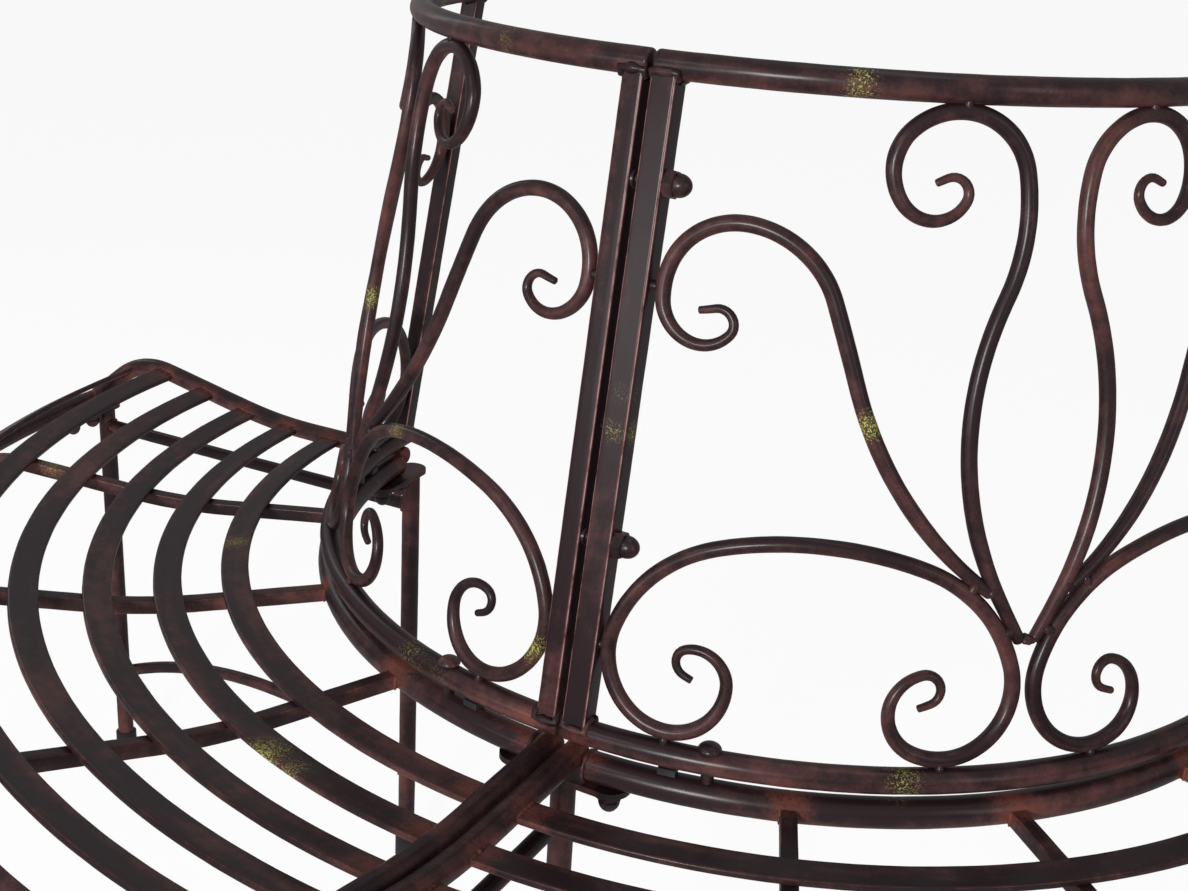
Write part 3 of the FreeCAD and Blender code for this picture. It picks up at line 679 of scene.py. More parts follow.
def bronze_paint(name, colours, gloss):
    """Dark bronze with brown streaks, rubbed at edges, rusty at welds, speckled with verdigris, and with a
    painted pale highlight line along the posts' edges.
    """
    made, graph = new_material(name)
    place = graph.out("ShaderNodeTexCoord", "Object")
    normal = graph.out("ShaderNodeNewGeometry", "Normal")
    upward = graph.out("ShaderNodeSeparateXYZ", "Z", None, {0: normal})
    streak = grain(graph, attribute(graph, "flow", "Vector"), 42, detail=3)
    patch = grain(graph, place, 75, detail=4, rough=0.6)
    fine = grain(graph, place, 520, detail=3, rough=0.65)
    speck = grain(graph, place, 1100, rough=0.7)
    # Edge level: real rubbed wear, and on posts also the painted highlight line
    rub_and_highlight = attribute(graph, "rub_and_highlight")
    rust = attribute(graph, "rust")
    patina = attribute(graph, "patina")
    warmth = streak * 0.60 + patch * 0.30 + fine * 0.12 + rust * 0.15 - upward * 0.03
    warm = warmth.between(0.44, 0.66)
    thinness = streak * 0.70 + patch * 0.35 + fine * 0.20 + rust * 0.20 - upward * 0.04
    rubbed = thinness.between(0.70, 0.92) * 0.7
    worn = (rub_and_highlight.between(0.0, 1.0) * 0.45 + patch * 0.5 + fine * 0.3).between(0.60, 1.0) * 0.7
    # Painted highlight: a pale line along the posts' rounded edges, where their edge level passes 1.35,
    # standing in for the lamps' reflection
    painted_highlight_mask = rub_and_highlight.between(1.35, 1.95) * patch.between(0.30, 0.60) * 0.9
    rusty = (rust * 0.80 + fine * 0.40 + patch * 0.30).between(0.50, 1.05)
    dull = (patina * 0.9 + patch * 0.55 + fine * 0.45).between(0.68, 1.15) * 0.75
    bright = (speck + fine * 0.5 + patina * 0.22).between(0.86, 0.98) * patina.between(0.04, 0.5)
    colour = graph.mix(warm, opaque(colours.paint), opaque(colours.warm_paint))
    colour = graph.mix(rubbed, colour, opaque(colours.rubbed))
    colour = graph.mix(worn, colour, opaque(colours.rubbed))
    # Painted highlight line along the posts' edges
    colour = graph.mix(painted_highlight_mask, colour, opaque(colours.painted_edge_highlight))
    colour = graph.mix(rusty, colour, opaque(colours.rubbed, 0.9))
    colour = graph.mix(dull, colour, opaque(colours.tarnish))
    colour = graph.mix(bright, colour, opaque(colours.verdigris))
    roughness = 0.45 + patch * 0.14 + fine * 0.12
    lacquer = gloss - rusty * 0.06 - dull * 0.10
    height = patch * 0.30 + fine * 0.45 + speck * 0.25
    bump = graph.out("ShaderNodeBump", "Normal", None,
                     {"Strength": 0.25, "Distance": 0.5 * MM, "Height": height})
    shader = graph.out("ShaderNodeBsdfPrincipled", "BSDF", None,
                       {"Base Color": colour, "Roughness": roughness.clamp(), "Specular IOR Level": 0.02,
                        "Coat Weight": lacquer.clamp(), "Coat Roughness": 0.27, "Coat IOR": 1.7,
                        "Coat Tint": (0.95, 0.86, 0.96, 1.0), "Normal": bump})
    graph.node("ShaderNodeOutputMaterial", None, {"Surface": shader})
    return made


def moulded_plastic(name, colours, matt):
    """Matt black plastic with a fine moulded grain."""
    made, graph = new_material(name)
    place = graph.out("ShaderNodeTexCoord", "Object")
    fine = grain(graph, place, 1500)
    broad = grain(graph, place, 60)
    colour = graph.mix(broad.between(0.4, 0.7), opaque(colours.plastic), opaque(colours.plastic, 1.7))
    bump = graph.out("ShaderNodeBump", "Normal", None,
                     {"Strength": 0.2, "Distance": 0.3 * MM, "Height": fine})
    shader = graph.out("ShaderNodeBsdfPrincipled", "BSDF", None,
                       {"Base Color": colour, "Roughness": matt + fine * 0.2, "Specular IOR Level": 0.08,
                        "Normal": bump})
    graph.node("ShaderNodeOutputMaterial", None, {"Surface": shader})
    return made


# What builds each slot's finish, and the gloss of a paint or the roughness of the plastic
LOOKS = {PAINT_SLOT: (bronze_paint, 0.12), FASTENER_SLOT: (bronze_paint, 0.15),
         PLASTIC_SLOT: (moulded_plastic, 0.5)}


def material(slot):
    """Look of a slot, made on first use under a name of its own."""
    name = slot + "_look"
    found = bpy.data.materials.get(name)
    if found:
        return found
    build, level = LOOKS[slot]
    return build(name, bpy.context.scene.tree_bench_colours, level)


# Places of posts, slats and bars


# Rounding of a rail's end, what the back rails reach further, and what the middle tubes lie nearer
END_EASE = 1.8 * MM
END_REACH = 1.5 * MM
TUBE_SHIFT = 2.2 * MM

TUBE_SIDES = 32
LEG_SIDES = 28
SLAT_COUNT = 6
BAR_AZIMUTHS = [azimuth + math.radians(turn) for azimuth in SEGMENTS.values() for turn in (-21.5, 0, 21.5)]

# Posts that differ from the rest: side, distance from the bench's middle and degrees turned
POST_LOOKS = {"middle_post_right": (15.6 * MM, 1.7 * MM, 0.0), "middle_post_left": (14 * MM, 2.2 * MM, -8.0)}
POST_COOLNESS = -0.45
# On posts the edge level is high enough to give real rubbed wear and also the painted highlight line along
# the corners
POST_WEAR_AND_HIGHLIGHT = 2.0
BAR_WEAR = 1.0
SLAT_WEAR = 0.7


def post_line(azimuth, sense, offset=POST_OFFSET):
    """Ends of a post's centre line, a little inside the rails."""
    offset *= -sense
    low = station(azimuth, BOTTOM.radius, offset, BOTTOM.height)
    high = station(azimuth, TOP.radius, offset, TOP.height)
    inset = (high - low).normalized() * (BOTTOM.tube * 0.7)
    return low + inset, high - inset


class Slat:
    """Radius, height and slope of one seat slat."""

    def __init__(self, number):
        low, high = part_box("slat_%d_right" % number)
        outer = math.hypot(RING.y - low.y, SEAT_END)
        self.slope = SEAT.at(outer - sizes().slat_width / 2)[1]
        reach = (sizes().slat_width * math.cos(self.slope)
                 + sizes().slat_thickness * abs(math.sin(self.slope))) / 2
        self.radius = outer - reach
        self.height = (low.z + high.z) / 2

    def facing(self, point):
        """Direction across the slat at one of its points."""
        return outward(point) * math.cos(self.slope) + UP * math.sin(self.slope)

    def across(self, azimuth):
        """Direction across the slat at an azimuth, outward and with its slope."""
        return radial(azimuth) * math.cos(self.slope) + UP * math.sin(self.slope)

    def normal(self, azimuth):
        """Direction square to the slat's upper side."""
        return UP * math.cos(self.slope) - radial(azimuth) * math.sin(self.slope)


def slats():
    """Slats of the seat, from the innermost to the outermost."""
    return [Slat(number) for number in range(1, SLAT_COUNT + 1)]


def slat_reach(radius):
    """Half angle of a slat, whose ends lie a little inside the end tubes."""
    return HALF_SPAN - math.asin((SEAT_END - 0.5 * MM) / radius) + TUBE_SHIFT / radius


# Pieces


class TREEBENCH_OT_rails(bpy.types.Operator):
    """Build the curved rails of the backrest and the seat"""
    bl_idname = "treebench.rails"
    bl_label = "Rails"

    def execute(self, context):
        for rail in (TOP, BOTTOM, SEAT_RAIL, RIM):
            for side, azimuth in SEGMENTS.items():
                ease = 0 if rail is SEAT_RAIL else END_EASE
                closer = END_REACH if rail in (TOP, BOTTOM) else 0
                reach = HALF_SPAN - math.asin((rail.end_offset + ease - closer) / rail.radius)
                path = arc_path(azimuth - reach, azimuth + reach, rail.radius, rail.height, sizes().rail_step)
                swept_node("%s_%s" % (rail.name, side), path, round_section(rail.tube, TUBE_SIDES), outward,
                           ease=ease)
        return {"FINISHED"}


class TREEBENCH_OT_posts(bpy.types.Operator):
    """Build the square posts between the backrest rails"""
    bl_idname = "treebench.posts"
    bl_label = "Posts"

    def execute(self, context):
        for side, place, azimuth, sense in segment_ends():
            node = "%s_post_%s" % (place, side)
            width, gap, twist = POST_LOOKS.get(node, (POST_SIDE, HALF_GAP, 0.0))
            start, end = post_line(azimuth, sense, gap + width / 2)
            facing = radial(azimuth + math.radians(twist))
            swept_node(node, line_path(start, end, sizes().rail_step),
                       bar_section(width, width, sizes().post_corner, POST_WEAR_AND_HIGHLIGHT),
                       lambda point: facing, rust=POST_COOLNESS)
        return {"FINISHED"}


class TREEBENCH_OT_scrolls(bpy.types.Operator):
    """Build the scroll rods of the backrest"""
    bl_idname = "treebench.scrolls"
    bl_label = "Scrolls"

    def execute(self, context):
        section = round_section(ROD, ROD_SIDES)
        for side, azimuth in SEGMENTS.items():
            for name in SCROLLS:
                for half, mirrored in (("a", False), ("b", True)):
                    path, swell = scroll_path(azimuth, name, mirrored, sizes().rod_step)
                    swept_node("%s_%s_%s" % (name, side, half), path, section, back_normal,
                               swell=swell, ease=ROD_EASE)
        return {"FINISHED"}


class TREEBENCH_OT_seat(bpy.types.Operator):
    """Build the end tubes, slats and bearer bars of the seat"""
    bl_idname = "treebench.seat"
    bl_label = "Seat"

    def execute(self, context):
        self.end_tubes()
        self.curved_slats()
        self.bearer_bars()
        return {"FINISHED"}

    @staticmethod
    def end_tubes():
        ease = END_EASE * 1.5
        for side, place, azimuth, sense in segment_ends():
            offset = END_TUBE_OFFSET - (TUBE_SHIFT if place == "middle" else 0)
            path = SEAT.path(azimuth, -sense * offset, 0, SEAT.inner + ease,
                             RIM.radius - RIM.tube / 2, sizes().rail_step)
            swept_node("seat_tube_%s_%s" % (place, side), path, round_section(END_TUBE, TUBE_SIDES),
                       lambda point: UP, ease=ease)

    @staticmethod
    def curved_slats():
        section = bar_section(sizes().slat_width, sizes().slat_thickness, sizes().slat_edge, SLAT_WEAR,
                              flat_steps=5)
        for number, slat in enumerate(slats(), start=1):
            for side, azimuth in SEGMENTS.items():
                reach = slat_reach(slat.radius)
                path = arc_path(azimuth - reach, azimuth + reach, slat.radius, slat.height, sizes().rail_step)
                swept_node("slat_%d_%s" % (number, side), path, section, slat.facing)

    @staticmethod
    def bearer_bars():
        skin = Skin()
        side = sizes().bar_side
        section = bar_section(side, side, 1 * MM, BAR_WEAR, flat_steps=2)
        for azimuth in BAR_AZIMUTHS:
            inner = SEAT_RAIL.radius + SEAT_RAIL.tube * 0.55
            outer = RIM.radius - RIM.tube / 2
            path = SEAT.path(azimuth, 0, -bar_drop(), inner, outer, sizes().rail_step)
            sweep(skin, path, section, lambda point: UP, ease=1 * MM, rough=sizes().unevenness)
        finish_node("bearer_bars", skin)


def bar_drop():
    """How far a bearer bar's centre line lies below the slats' own."""
    return sizes().slat_thickness / 2 + WELD_GAP + sizes().bar_side / 2


def stretcher_path(azimuth):
    """Low arc from leg to leg, worked out from the height and length of its node."""
    low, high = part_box("stretcher_middle")
    crown = high.z - STRETCHER
    chord = OUTER_LEG_RADIUS - INNER_LEG_RADIUS
    end = low.z + STRETCHER
    # Where the legs cut the arc depends on its slope there, so the end is found in a few rounds
    for _ in range(5):
        slope = 4 * (crown - end) / chord
        end = low.z + STRETCHER * math.sqrt(1 + slope * slope) - slope * LEG_TUBE
    rise = crown - end
    bow = (chord * chord / 4 + rise * rise) / (2 * rise)
    half = math.asin(chord / 2 / bow) * (1 - LEG_TUBE / chord)
    middle = (INNER_LEG_RADIUS + OUTER_LEG_RADIUS) / 2
    count = 72
    turns = [half * (2 * i / count - 1) for i in range(count + 1)]
    return [station(azimuth, middle + bow * math.sin(turn), 0, crown - bow * (1 - math.cos(turn)))
            for turn in turns]


class TREEBENCH_OT_legs(bpy.types.Operator):
    """Build the legs, cross bars and stretchers of the leg frames"""
    bl_idname = "treebench.legs"
    bl_label = "Leg frames"

    def execute(self, context):
        step = sizes().rail_step
        for place, azimuth in FRAMES.items():
            out = radial(azimuth)
            for name, radius in LEGS.items():
                node = "%s_%s" % (name, place)
                low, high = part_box(node)
                foot = station(azimuth, radius, 0, low.z)
                head = station(azimuth, radius, 0, high.z)
                self.tube(node, line_path(foot, head, step), LEG_TUBE, out)
            start = station(azimuth, INNER_LEG_RADIUS + LEG_TUBE / 2, 0, CROSS_BAR_HEIGHT)
            end = station(azimuth, OUTER_LEG_RADIUS - LEG_TUBE / 2, 0, CROSS_BAR_HEIGHT)
            self.tube("cross_bar_" + place, line_path(start, end, step), CROSS_BAR, UP)
            self.tube("stretcher_" + place, stretcher_path(azimuth), STRETCHER, UP)
        return {"FINISHED"}

    @staticmethod
    def tube(node, path, radius, side):
        swept_node(node, path, round_section(radius, LEG_SIDES), lambda point: side)


# Welds


def bead(skin, path, radius, side, closed=False):
    """Rippled weld bead along a path, which thins at its ends unless it is closed."""
    swell = []
    for i, point in enumerate(path):
        # Even ripples along the bead, with uneven lumps on top of them
        ripple = 0.14 * math.sin(i * 1.9) + 0.45 * noise.noise(point * 420)
        fade = 1.0 if closed else min(1.0, 0.45 + 0.3 * min(i, len(path) - 1 - i))
        swell.append((1 + ripple) * fade)
    sweep(skin, path, round_section(radius, 10), lambda point: side, swell=swell,
          ease=0 if closed else radius * 0.4, rough=radius * 0.26, closed=closed)


def nib(skin, centre, along, reach, radius):
    """Small spindle of weld metal that bridges two rods."""
    path = []
    swell = []
    count = 8
    for i in range(count + 1):
        share = 2 * i / count - 1
        path.append(centre + along * (reach * share))
        swell.append(max(0.25, math.sqrt(1 - share * share)) * (1 + 0.25 * noise.noise(path[-1] * 500)))
    side = along.orthogonal()
    sweep(skin, path, round_section(radius, 12), lambda point: side, swell=swell, rough=radius * 0.12)


def nearest_points(path, other):
    """Places where two paths come nearest: index on the first, index on the other and distance."""
    window = 6
    here = np.array([tuple(point) for point in path])
    there = np.array([tuple(point) for point in other])
    gaps = np.linalg.norm(here[:, None, :] - there[None, :, :], axis=2)
    best = gaps.min(axis=1)
    return [(i, int(gaps[i].argmin()), float(best[i])) for i in range(len(best))
            if best[i] == best[max(0, i - window):i + window + 1].min()]


# Widest gap that weld metal bridges, and how far it lies in front of the rods and behind them
NIB_REACH = 3 * MM
NIB_FORWARD = 2.4 * MM

# Length and width of a spindle of weld metal, as shares of the user's bead
NIB_LENGTH = 2.4
NIB_WIDTH = 1.45

# Sizes of the beads at the other joints, as shares of the user's bead
POST_BEAD = 1.35
SLAT_BEAD = 0.75
SEAT_RAIL_BEAD = 0.7
RIM_BEAD = 0.8
BAR_END_BEAD = 0.7
BAR_SLAT_BEAD = 0.55
LEG_BAR_BEAD = 0.75
LEG_TOP_BEAD = 0.7

# Steps at which rails and rods are searched for the places where they touch
RAIL_SEARCH = 2 * MM
ROD_SEARCH = 2.2 * MM

# How far the rust round a joint reaches, and its level
SCROLL_RUST = (10 * MM, 0.15)
SLAT_RUST = (26 * MM, 0.6)
TUBE_RUST = (36 * MM, 0.8)
RIM_RUST = (34 * MM, 0.5)
BAR_RUST = (24 * MM, 0.95)
LEG_RUST = (26 * MM, 0.5)


def scroll_welds():
    """Places where scroll rods touch each other, the rails and the posts: centre and way across."""
    found = []
    for azimuth in SEGMENTS.values():
        lines = [(arc_path(azimuth - HALF_SPAN, azimuth + HALF_SPAN, rail.radius, rail.height, RAIL_SEARCH),
                  rail.tube) for rail in (TOP, BOTTOM)]
        for name in SCROLLS:
            for mirrored in (False, True):
                path, _ = scroll_path(azimuth, name, mirrored, ROD_SEARCH)
                for line, tube in lines:
                    for i, j, gap in nearest_points(path, line):
                        if gap < ROD + tube + NIB_REACH and i:
                            across = (line[j] - path[i]).normalized()
                            found.append((path[i] + across * (ROD + (gap - ROD - tube) / 2), across))
                lines.append((path, ROD))
                for sense in (-1, 1):
                    found.extend(post_touches(path, azimuth + sense * HALF_SPAN, sense))
    return found


def post_touches(path, azimuth, sense):
    """Places where a scroll rod comes nearest to the post at an end of its segment."""
    face = HALF_GAP + POST_SIDE
    across = tangent(azimuth) * sense
    clear = [-(point - RING).dot(across) - face - ROD for point in path]
    return [(path[i] + across * (ROD + clear[i] / 2), across) for i in range(1, len(path) - 1)
            if clear[i] < NIB_REACH and clear[i] <= min(clear[i - 1], clear[i + 1])]


def circle(centre, first, second, radius, count=28):
    """Points round a circle in the plane of two directions."""
    turns = [2 * math.pi * i / count for i in range(count)]
    return [centre + (first * math.cos(turn) + second * math.sin(turn)) * radius for turn in turns]


def wrapped(loop, axis, hub, radius, upright=UP):
    """Slide the points of a loop along an axis onto the surface of a tube that runs the upright way."""
    moved = []
    for point in loop:
        offset = point - hub
        offset -= upright * offset.dot(upright) + axis * offset.dot(axis)
        wide = min(offset.length, radius)
        reach = math.sqrt(radius * radius - wide * wide)
        moved.append(point + axis * (reach - (point - hub).dot(axis)))
    return moved


def post_weld(azimuth, sense, rail, upward):
    """Loop round a post where it meets a rail."""
    half = POST_SIDE / 2 + 0.3 * MM
    corners = ((1, 1), (-1, 1), (-1, -1), (1, -1))
    path = []
    for (ax, ay), (bx, by) in zip(corners, corners[1:] + corners[:1]):
        for share in (0, 0.2, 0.4, 0.6, 0.8):
            across = half * (ax + (bx - ax) * share)
            along = half * (ay + (by - ay) * share)
            rise = math.sqrt(rail.tube ** 2 - min(abs(across), rail.tube) ** 2)
            lean = -math.tan(LEAN) * upward * rise
            path.append(station(azimuth, rail.radius + across + lean, -sense * POST_OFFSET + along,
                                rail.height + upward * max(rise, 1.5 * MM)))
    return path


class TREEBENCH_OT_welds(bpy.types.Operator):
    """Build the weld beads at every joint"""
    bl_idname = "treebench.welds"
    bl_label = "Welds"

    def execute(self, context):
        size = sizes().bead
        # Name, what builds it and how rusty it is
        for name, weld, rust in (("scroll_welds", self.scrolls, -0.2),
                                 ("segment_end_welds", self.segment_ends, -0.2),
                                 ("bearer_bar_welds", self.bearer_bars, 0.25),
                                 ("leg_frame_welds", self.leg_frames, 0.1)):
            skin = Skin()
            weld(skin, size)
            finish_piece(name, skin, PAINT_SLOT, rust=rust)
        return {"FINISHED"}

    @staticmethod
    def scrolls(skin, size):
        for spot, across in scroll_welds():
            for forward in (NIB_FORWARD, -NIB_FORWARD):
                nib(skin, spot + back_normal(spot) * forward, across, size * NIB_LENGTH, size * NIB_WIDTH)

    @staticmethod
    def segment_ends(skin, size):
        for _, place, azimuth, sense in segment_ends():
            out, along = radial(azimuth), tangent(azimuth)
            shift = TUBE_SHIFT if place == "middle" else 0
            for rail, upward in ((BOTTOM, 1), (TOP, -1)):
                loop = post_weld(azimuth, sense, rail, upward)
                bead(skin, loop, size * POST_BEAD, out + UP * 0.3, closed=True)
            for slat in slats():
                centre = station(azimuth, slat.radius, -sense * (SEAT_END - shift - 0.6 * MM), slat.height)
                half = slat.across(azimuth) * (sizes().slat_width / 2 - 1 * MM)
                for upward, share in ((1, 1.0), (-1, 0.7)):
                    base = centre + slat.normal(azimuth) * (upward * sizes().slat_thickness / 2)
                    path = line_path(base - half * share, base + half * share, 1.2 * MM)
                    bead(skin, path, size * SLAT_BEAD, along)
            hub = station(azimuth, SEAT_RAIL.radius, -sense * SEAT_END, SEAT_RAIL.height)
            bead(skin, circle(hub, out, UP, SEAT_RAIL.tube), size * SEAT_RAIL_BEAD, along, closed=True)
            hub = station(azimuth, RIM.radius, -sense * (END_TUBE_OFFSET - shift), RIM.height)
            loop = wrapped(circle(hub, along, UP, END_TUBE), -out, hub, RIM.tube, along)
            bead(skin, loop, size * RIM_BEAD, out, closed=True)

    @staticmethod
    def bearer_bars(skin, size):
        half = sizes().bar_side / 2
        ends = (SEAT_RAIL.radius + SEAT_RAIL.tube * 0.98, RIM.radius - RIM.tube * 0.98)
        for azimuth in BAR_AZIMUTHS:
            for offset in (-half, half):
                for radius in ends:
                    height, slope = SEAT.at(radius)
                    centre = station(azimuth, radius, offset, height - bar_drop() * math.cos(slope))
                    bead(skin, line_path(centre - UP * half * 0.9, centre + UP * half * 0.9, 1.2 * MM),
                         size * BAR_END_BEAD, radial(azimuth))
                for slat in slats():
                    centre = station(azimuth, slat.radius, offset, slat.height)
                    centre -= slat.normal(azimuth) * (sizes().slat_thickness / 2 + WELD_GAP)
                    reach = slat.across(azimuth) * (sizes().slat_width * 0.3)
                    bead(skin, line_path(centre - reach, centre + reach, 1.4 * MM), size * BAR_SLAT_BEAD, UP)

    @staticmethod
    def leg_frames(skin, size):
        for place, azimuth in FRAMES.items():
            out, along = radial(azimuth), tangent(azimuth)
            bars = ((CROSS_BAR_HEIGHT, CROSS_BAR), (stretcher_path(azimuth)[0].z, STRETCHER))
            for (name, radius), axis in zip(LEGS.items(), (out, -out)):
                for height, bar in bars:
                    hub = station(azimuth, radius, 0, height)
                    loop = wrapped(circle(hub, along, UP, bar + 0.4 * MM), axis, hub, LEG_TUBE)
                    bead(skin, loop, size * LEG_BAR_BEAD, axis, closed=True)
                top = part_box("%s_%s" % (name, place))[1].z
                hub = station(azimuth, radius, 0, top - 0.6 * MM)
                loop = circle(hub, out, along, LEG_TUBE + 0.5 * MM)
                bead(skin, loop, size * LEG_TOP_BEAD, UP, closed=True)


def note_welds():
    """Remember every joint, so that the paint round it turns rusty."""
    for spot, _ in scroll_welds():
        WELDS.append((spot, *SCROLL_RUST))
    for _, _, azimuth, sense in segment_ends():
        for slat in slats():
            WELDS.append((station(azimuth, slat.radius, -sense * SEAT_END, slat.height), *SLAT_RUST))
        WELDS.append((station(azimuth, SEAT.inner, -sense * END_TUBE_OFFSET, SEAT.level), *TUBE_RUST))
        WELDS.append((station(azimuth, RIM.radius, -sense * END_TUBE_OFFSET, RIM.height), *RIM_RUST))
    for azimuth in BAR_AZIMUTHS:
        for rail in (SEAT_RAIL, RIM):
            WELDS.append((station(azimuth, rail.radius, 0, rail.height), *BAR_RUST))
    for azimuth in FRAMES.values():
        for radius in LEGS.values():
            for height in (CROSS_BAR_HEIGHT, stretcher_path(azimuth)[0].z):
                WELDS.append((station(azimuth, radius, 0, height), *LEG_RUST))


# Fasteners


NUT_FLATS = 15.2 * MM
NUT_HEIGHT = 6.4 * MM
DOME = 6.9 * MM
DOME_RISE = 8.0 * MM
BOLT = 8 * MM / 2
BOLT_SIDES = 20
HEAD = 14.5 * MM / 2
HEAD_HEIGHT = 5 * MM

# Studs lie to both sides of the middle legs, and on one side of the legs at the ends
STUD_OFFSET = 32 * MM
END_STUD_OFFSET = 20 * MM
END_STUD_PITCH = 26 * MM

# Heights of the post bolts above the bottom rail, and how far the back bolts lie from a segment's end
POST_BOLT_RISES = (118 * MM, 325 * MM)
BACK_BOLT_ANGLE = math.radians(14.7)

# Collar round a post bolt on the inner face of the left middle post: radius and height along the bolt
COLLAR = ((BOLT * 1.5, -1 * MM), (BOLT * 1.4, 0.6 * MM), (BOLT * 1.1, 1.4 * MM))


def turned(skin, base, axis, outline, sides):
    """Revolve an outline of (radius, height) about an axis through a base point."""
    first = axis.orthogonal().normalized()
    rings = [circle(base + axis * height, first, axis.cross(first), radius, sides)
             for radius, height in outline]
    skin.loft(rings, [0.0] * sides)


def dome_outline(radius, low, rise):
    """Quarter ellipse from a rim up to a small flat at the crown."""
    turns = [math.radians(turn) for turn in range(0, 90, 12)]
    return [(radius * math.cos(turn), low + rise * math.sin(turn)) for turn in turns]


def acorn_nut(skin, base, axis):
    """Hexagon nut with chamfered corners and a round dome."""
    corner = NUT_FLATS / math.sqrt(3)
    turned(skin, base, axis, ((corner * 0.92, 0), (corner, 0.6 * MM), (corner, NUT_HEIGHT - 1.2 * MM),
                              (corner * 0.86, NUT_HEIGHT)), 6)
    waist = DOME - 0.7 * MM
    shoulder = NUT_HEIGHT + 1.2 * MM
    turned(skin, base, axis, [(waist, NUT_HEIGHT - 0.4 * MM), (waist, NUT_HEIGHT + 0.5 * MM)]
           + dome_outline(DOME, shoulder, DOME_RISE), 24)


def dome_bolt(skin, base, axis, length):
    """Low round head with its shank below."""
    turned(skin, base, axis, ((BOLT, -length), (BOLT, 0)), BOLT_SIDES)
    rim = 0.5 * MM
    turned(skin, base, axis, [(HEAD * 0.94, 0)] + dome_outline(HEAD, rim, HEAD_HEIGHT - rim), 28)


def stud_places(place):
    """Offsets of a leg's studs along the ring."""
    if place == "middle":
        return (-STUD_OFFSET, STUD_OFFSET)
    sense = -1 if place == "right" else 1
    return (sense * END_STUD_OFFSET, sense * (END_STUD_OFFSET + END_STUD_PITCH))


class TREEBENCH_OT_fasteners(bpy.types.Operator):
    """Build the acorn nuts and bolts, and finish the plates, studs, pads and foot caps"""
    bl_idname = "treebench.fasteners"
    bl_label = "Fasteners"

    def execute(self, context):
        self.nuts_and_post_bolts()
        bolts = Skin()
        top = BOTTOM.height + BOTTOM.tube
        for azimuth in SEGMENTS.values():
            for sense in (-1, 1):
                turn = azimuth + sense * (HALF_SPAN - BACK_BOLT_ANGLE)
                dome_bolt(bolts, station(turn, BOTTOM.radius, 0, top), UP, top - SEAT_RAIL.height)
        finish_node("back_bolts", bolts, FASTENER_SLOT)
        for node, slot in (("leg_plates", PAINT_SLOT), ("leg_studs", FASTENER_SLOT),
                           ("rail_pads", PLASTIC_SLOT), ("foot_caps", PLASTIC_SLOT)):
            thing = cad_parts[node]
            thing.data.materials.clear()
            thing.data.materials.append(material(slot))
            corners = [vertex.co.copy() for vertex in thing.data.vertices]
            note_levels(thing.data, [0.0] * len(corners), corners)
            ease = thing.modifiers.new("ease", "BEVEL")
            ease.width = 0.4 * MM
            ease.segments = 2
            ease.limit_method = "ANGLE"
            ease.angle_limit = SHARP_ANGLE
        return {"FINISHED"}

    @staticmethod
    def nuts_and_post_bolts():
        nuts = Skin()
        for place, azimuth in FRAMES.items():
            for name, radius in LEGS.items():
                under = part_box("%s_%s" % (name, place))[1].z
                for offset in stud_places(place):
                    acorn_nut(nuts, station(azimuth, radius, offset, under), -UP)
        bolts = Skin()
        face = HALF_GAP + POST_SIDE
        for rise in POST_BOLT_RISES:
            radius = BOTTOM.radius - rise * math.tan(LEAN)
            height = BOTTOM.height + rise
            acorn_nut(nuts, station(0, radius, face, height), tangent(0))
            stem = station(0, radius, -face + POST_SIDE / 2, height)
            turned(bolts, stem, tangent(0), ((BOLT, 0), (BOLT, 2 * face - POST_SIDE / 2)), BOLT_SIDES)
            inner_face = station(0, radius, -POST_LOOKS["middle_post_left"][1], height)
            turned(bolts, inner_face, tangent(0), COLLAR, BOLT_SIDES)
        finish_node("acorn_nuts", nuts, FASTENER_SLOT)
        finish_node("post_bolts", bolts, FASTENER_SLOT)


# Stage


FLOOR_RADIUS = 18.0
FLOOR_WHITE = 0.92
WORLD_LEVEL = 0.26

# Softboxes: place, aim, width and height, and power in watts
LAMPS = {
    "front_softbox": ((-1.1, -2.3, 0.75), (0, 0.1, 0.65), (1.4, 0.6), 20),
    "camera_softbox": ((0.3, -2.5, 1.15), (0, 0.1, 0.6), (0.45, 0.35), 90),
    "key_softbox": ((-0.9, -2.3, 2.5), (0, 0.1, 0.6), (1.3, 0.2), 16),
    "fill_softbox": ((2.6, -0.9, 1.5), (0, 0.1, 0.6), (0.25, 1.2), 9),
    "side_softbox": ((-2.4, 0.9, 1.7), (0, 0.1, 0.5), (0.25, 1.2), 8),
    "top_softbox": ((0.3, 0.5, 2.9), (0, 0.2, 0.4), (1.6, 0.5), 8),
}

# Camera: its angle round the ring, distance from the ring's axis, height, turns in radians and lens
CAMERA_AZIMUTH = 0.3422
CAMERA_DISTANCE = 1.1440
CAMERA_ABOVE_RAIL = 0.4953
CAMERA_YAW = -0.139
CAMERA_PITCH = 0.3673
CAMERA_ROLL = 0.0599
CAMERA_LENS = 46.86


def seen_directly(graph):
    """How white the surroundings show: 1 for camera, glossy and transmission rays, 0 for the rest."""
    rays = graph.node("ShaderNodeLightPath")
    camera = Socket(graph, rays.outputs["Is Camera Ray"])
    glossy = Socket(graph, rays.outputs["Is Glossy Ray"])
    through = Socket(graph, rays.outputs["Is Transmission Ray"])
    return (camera + glossy + through).clamp()


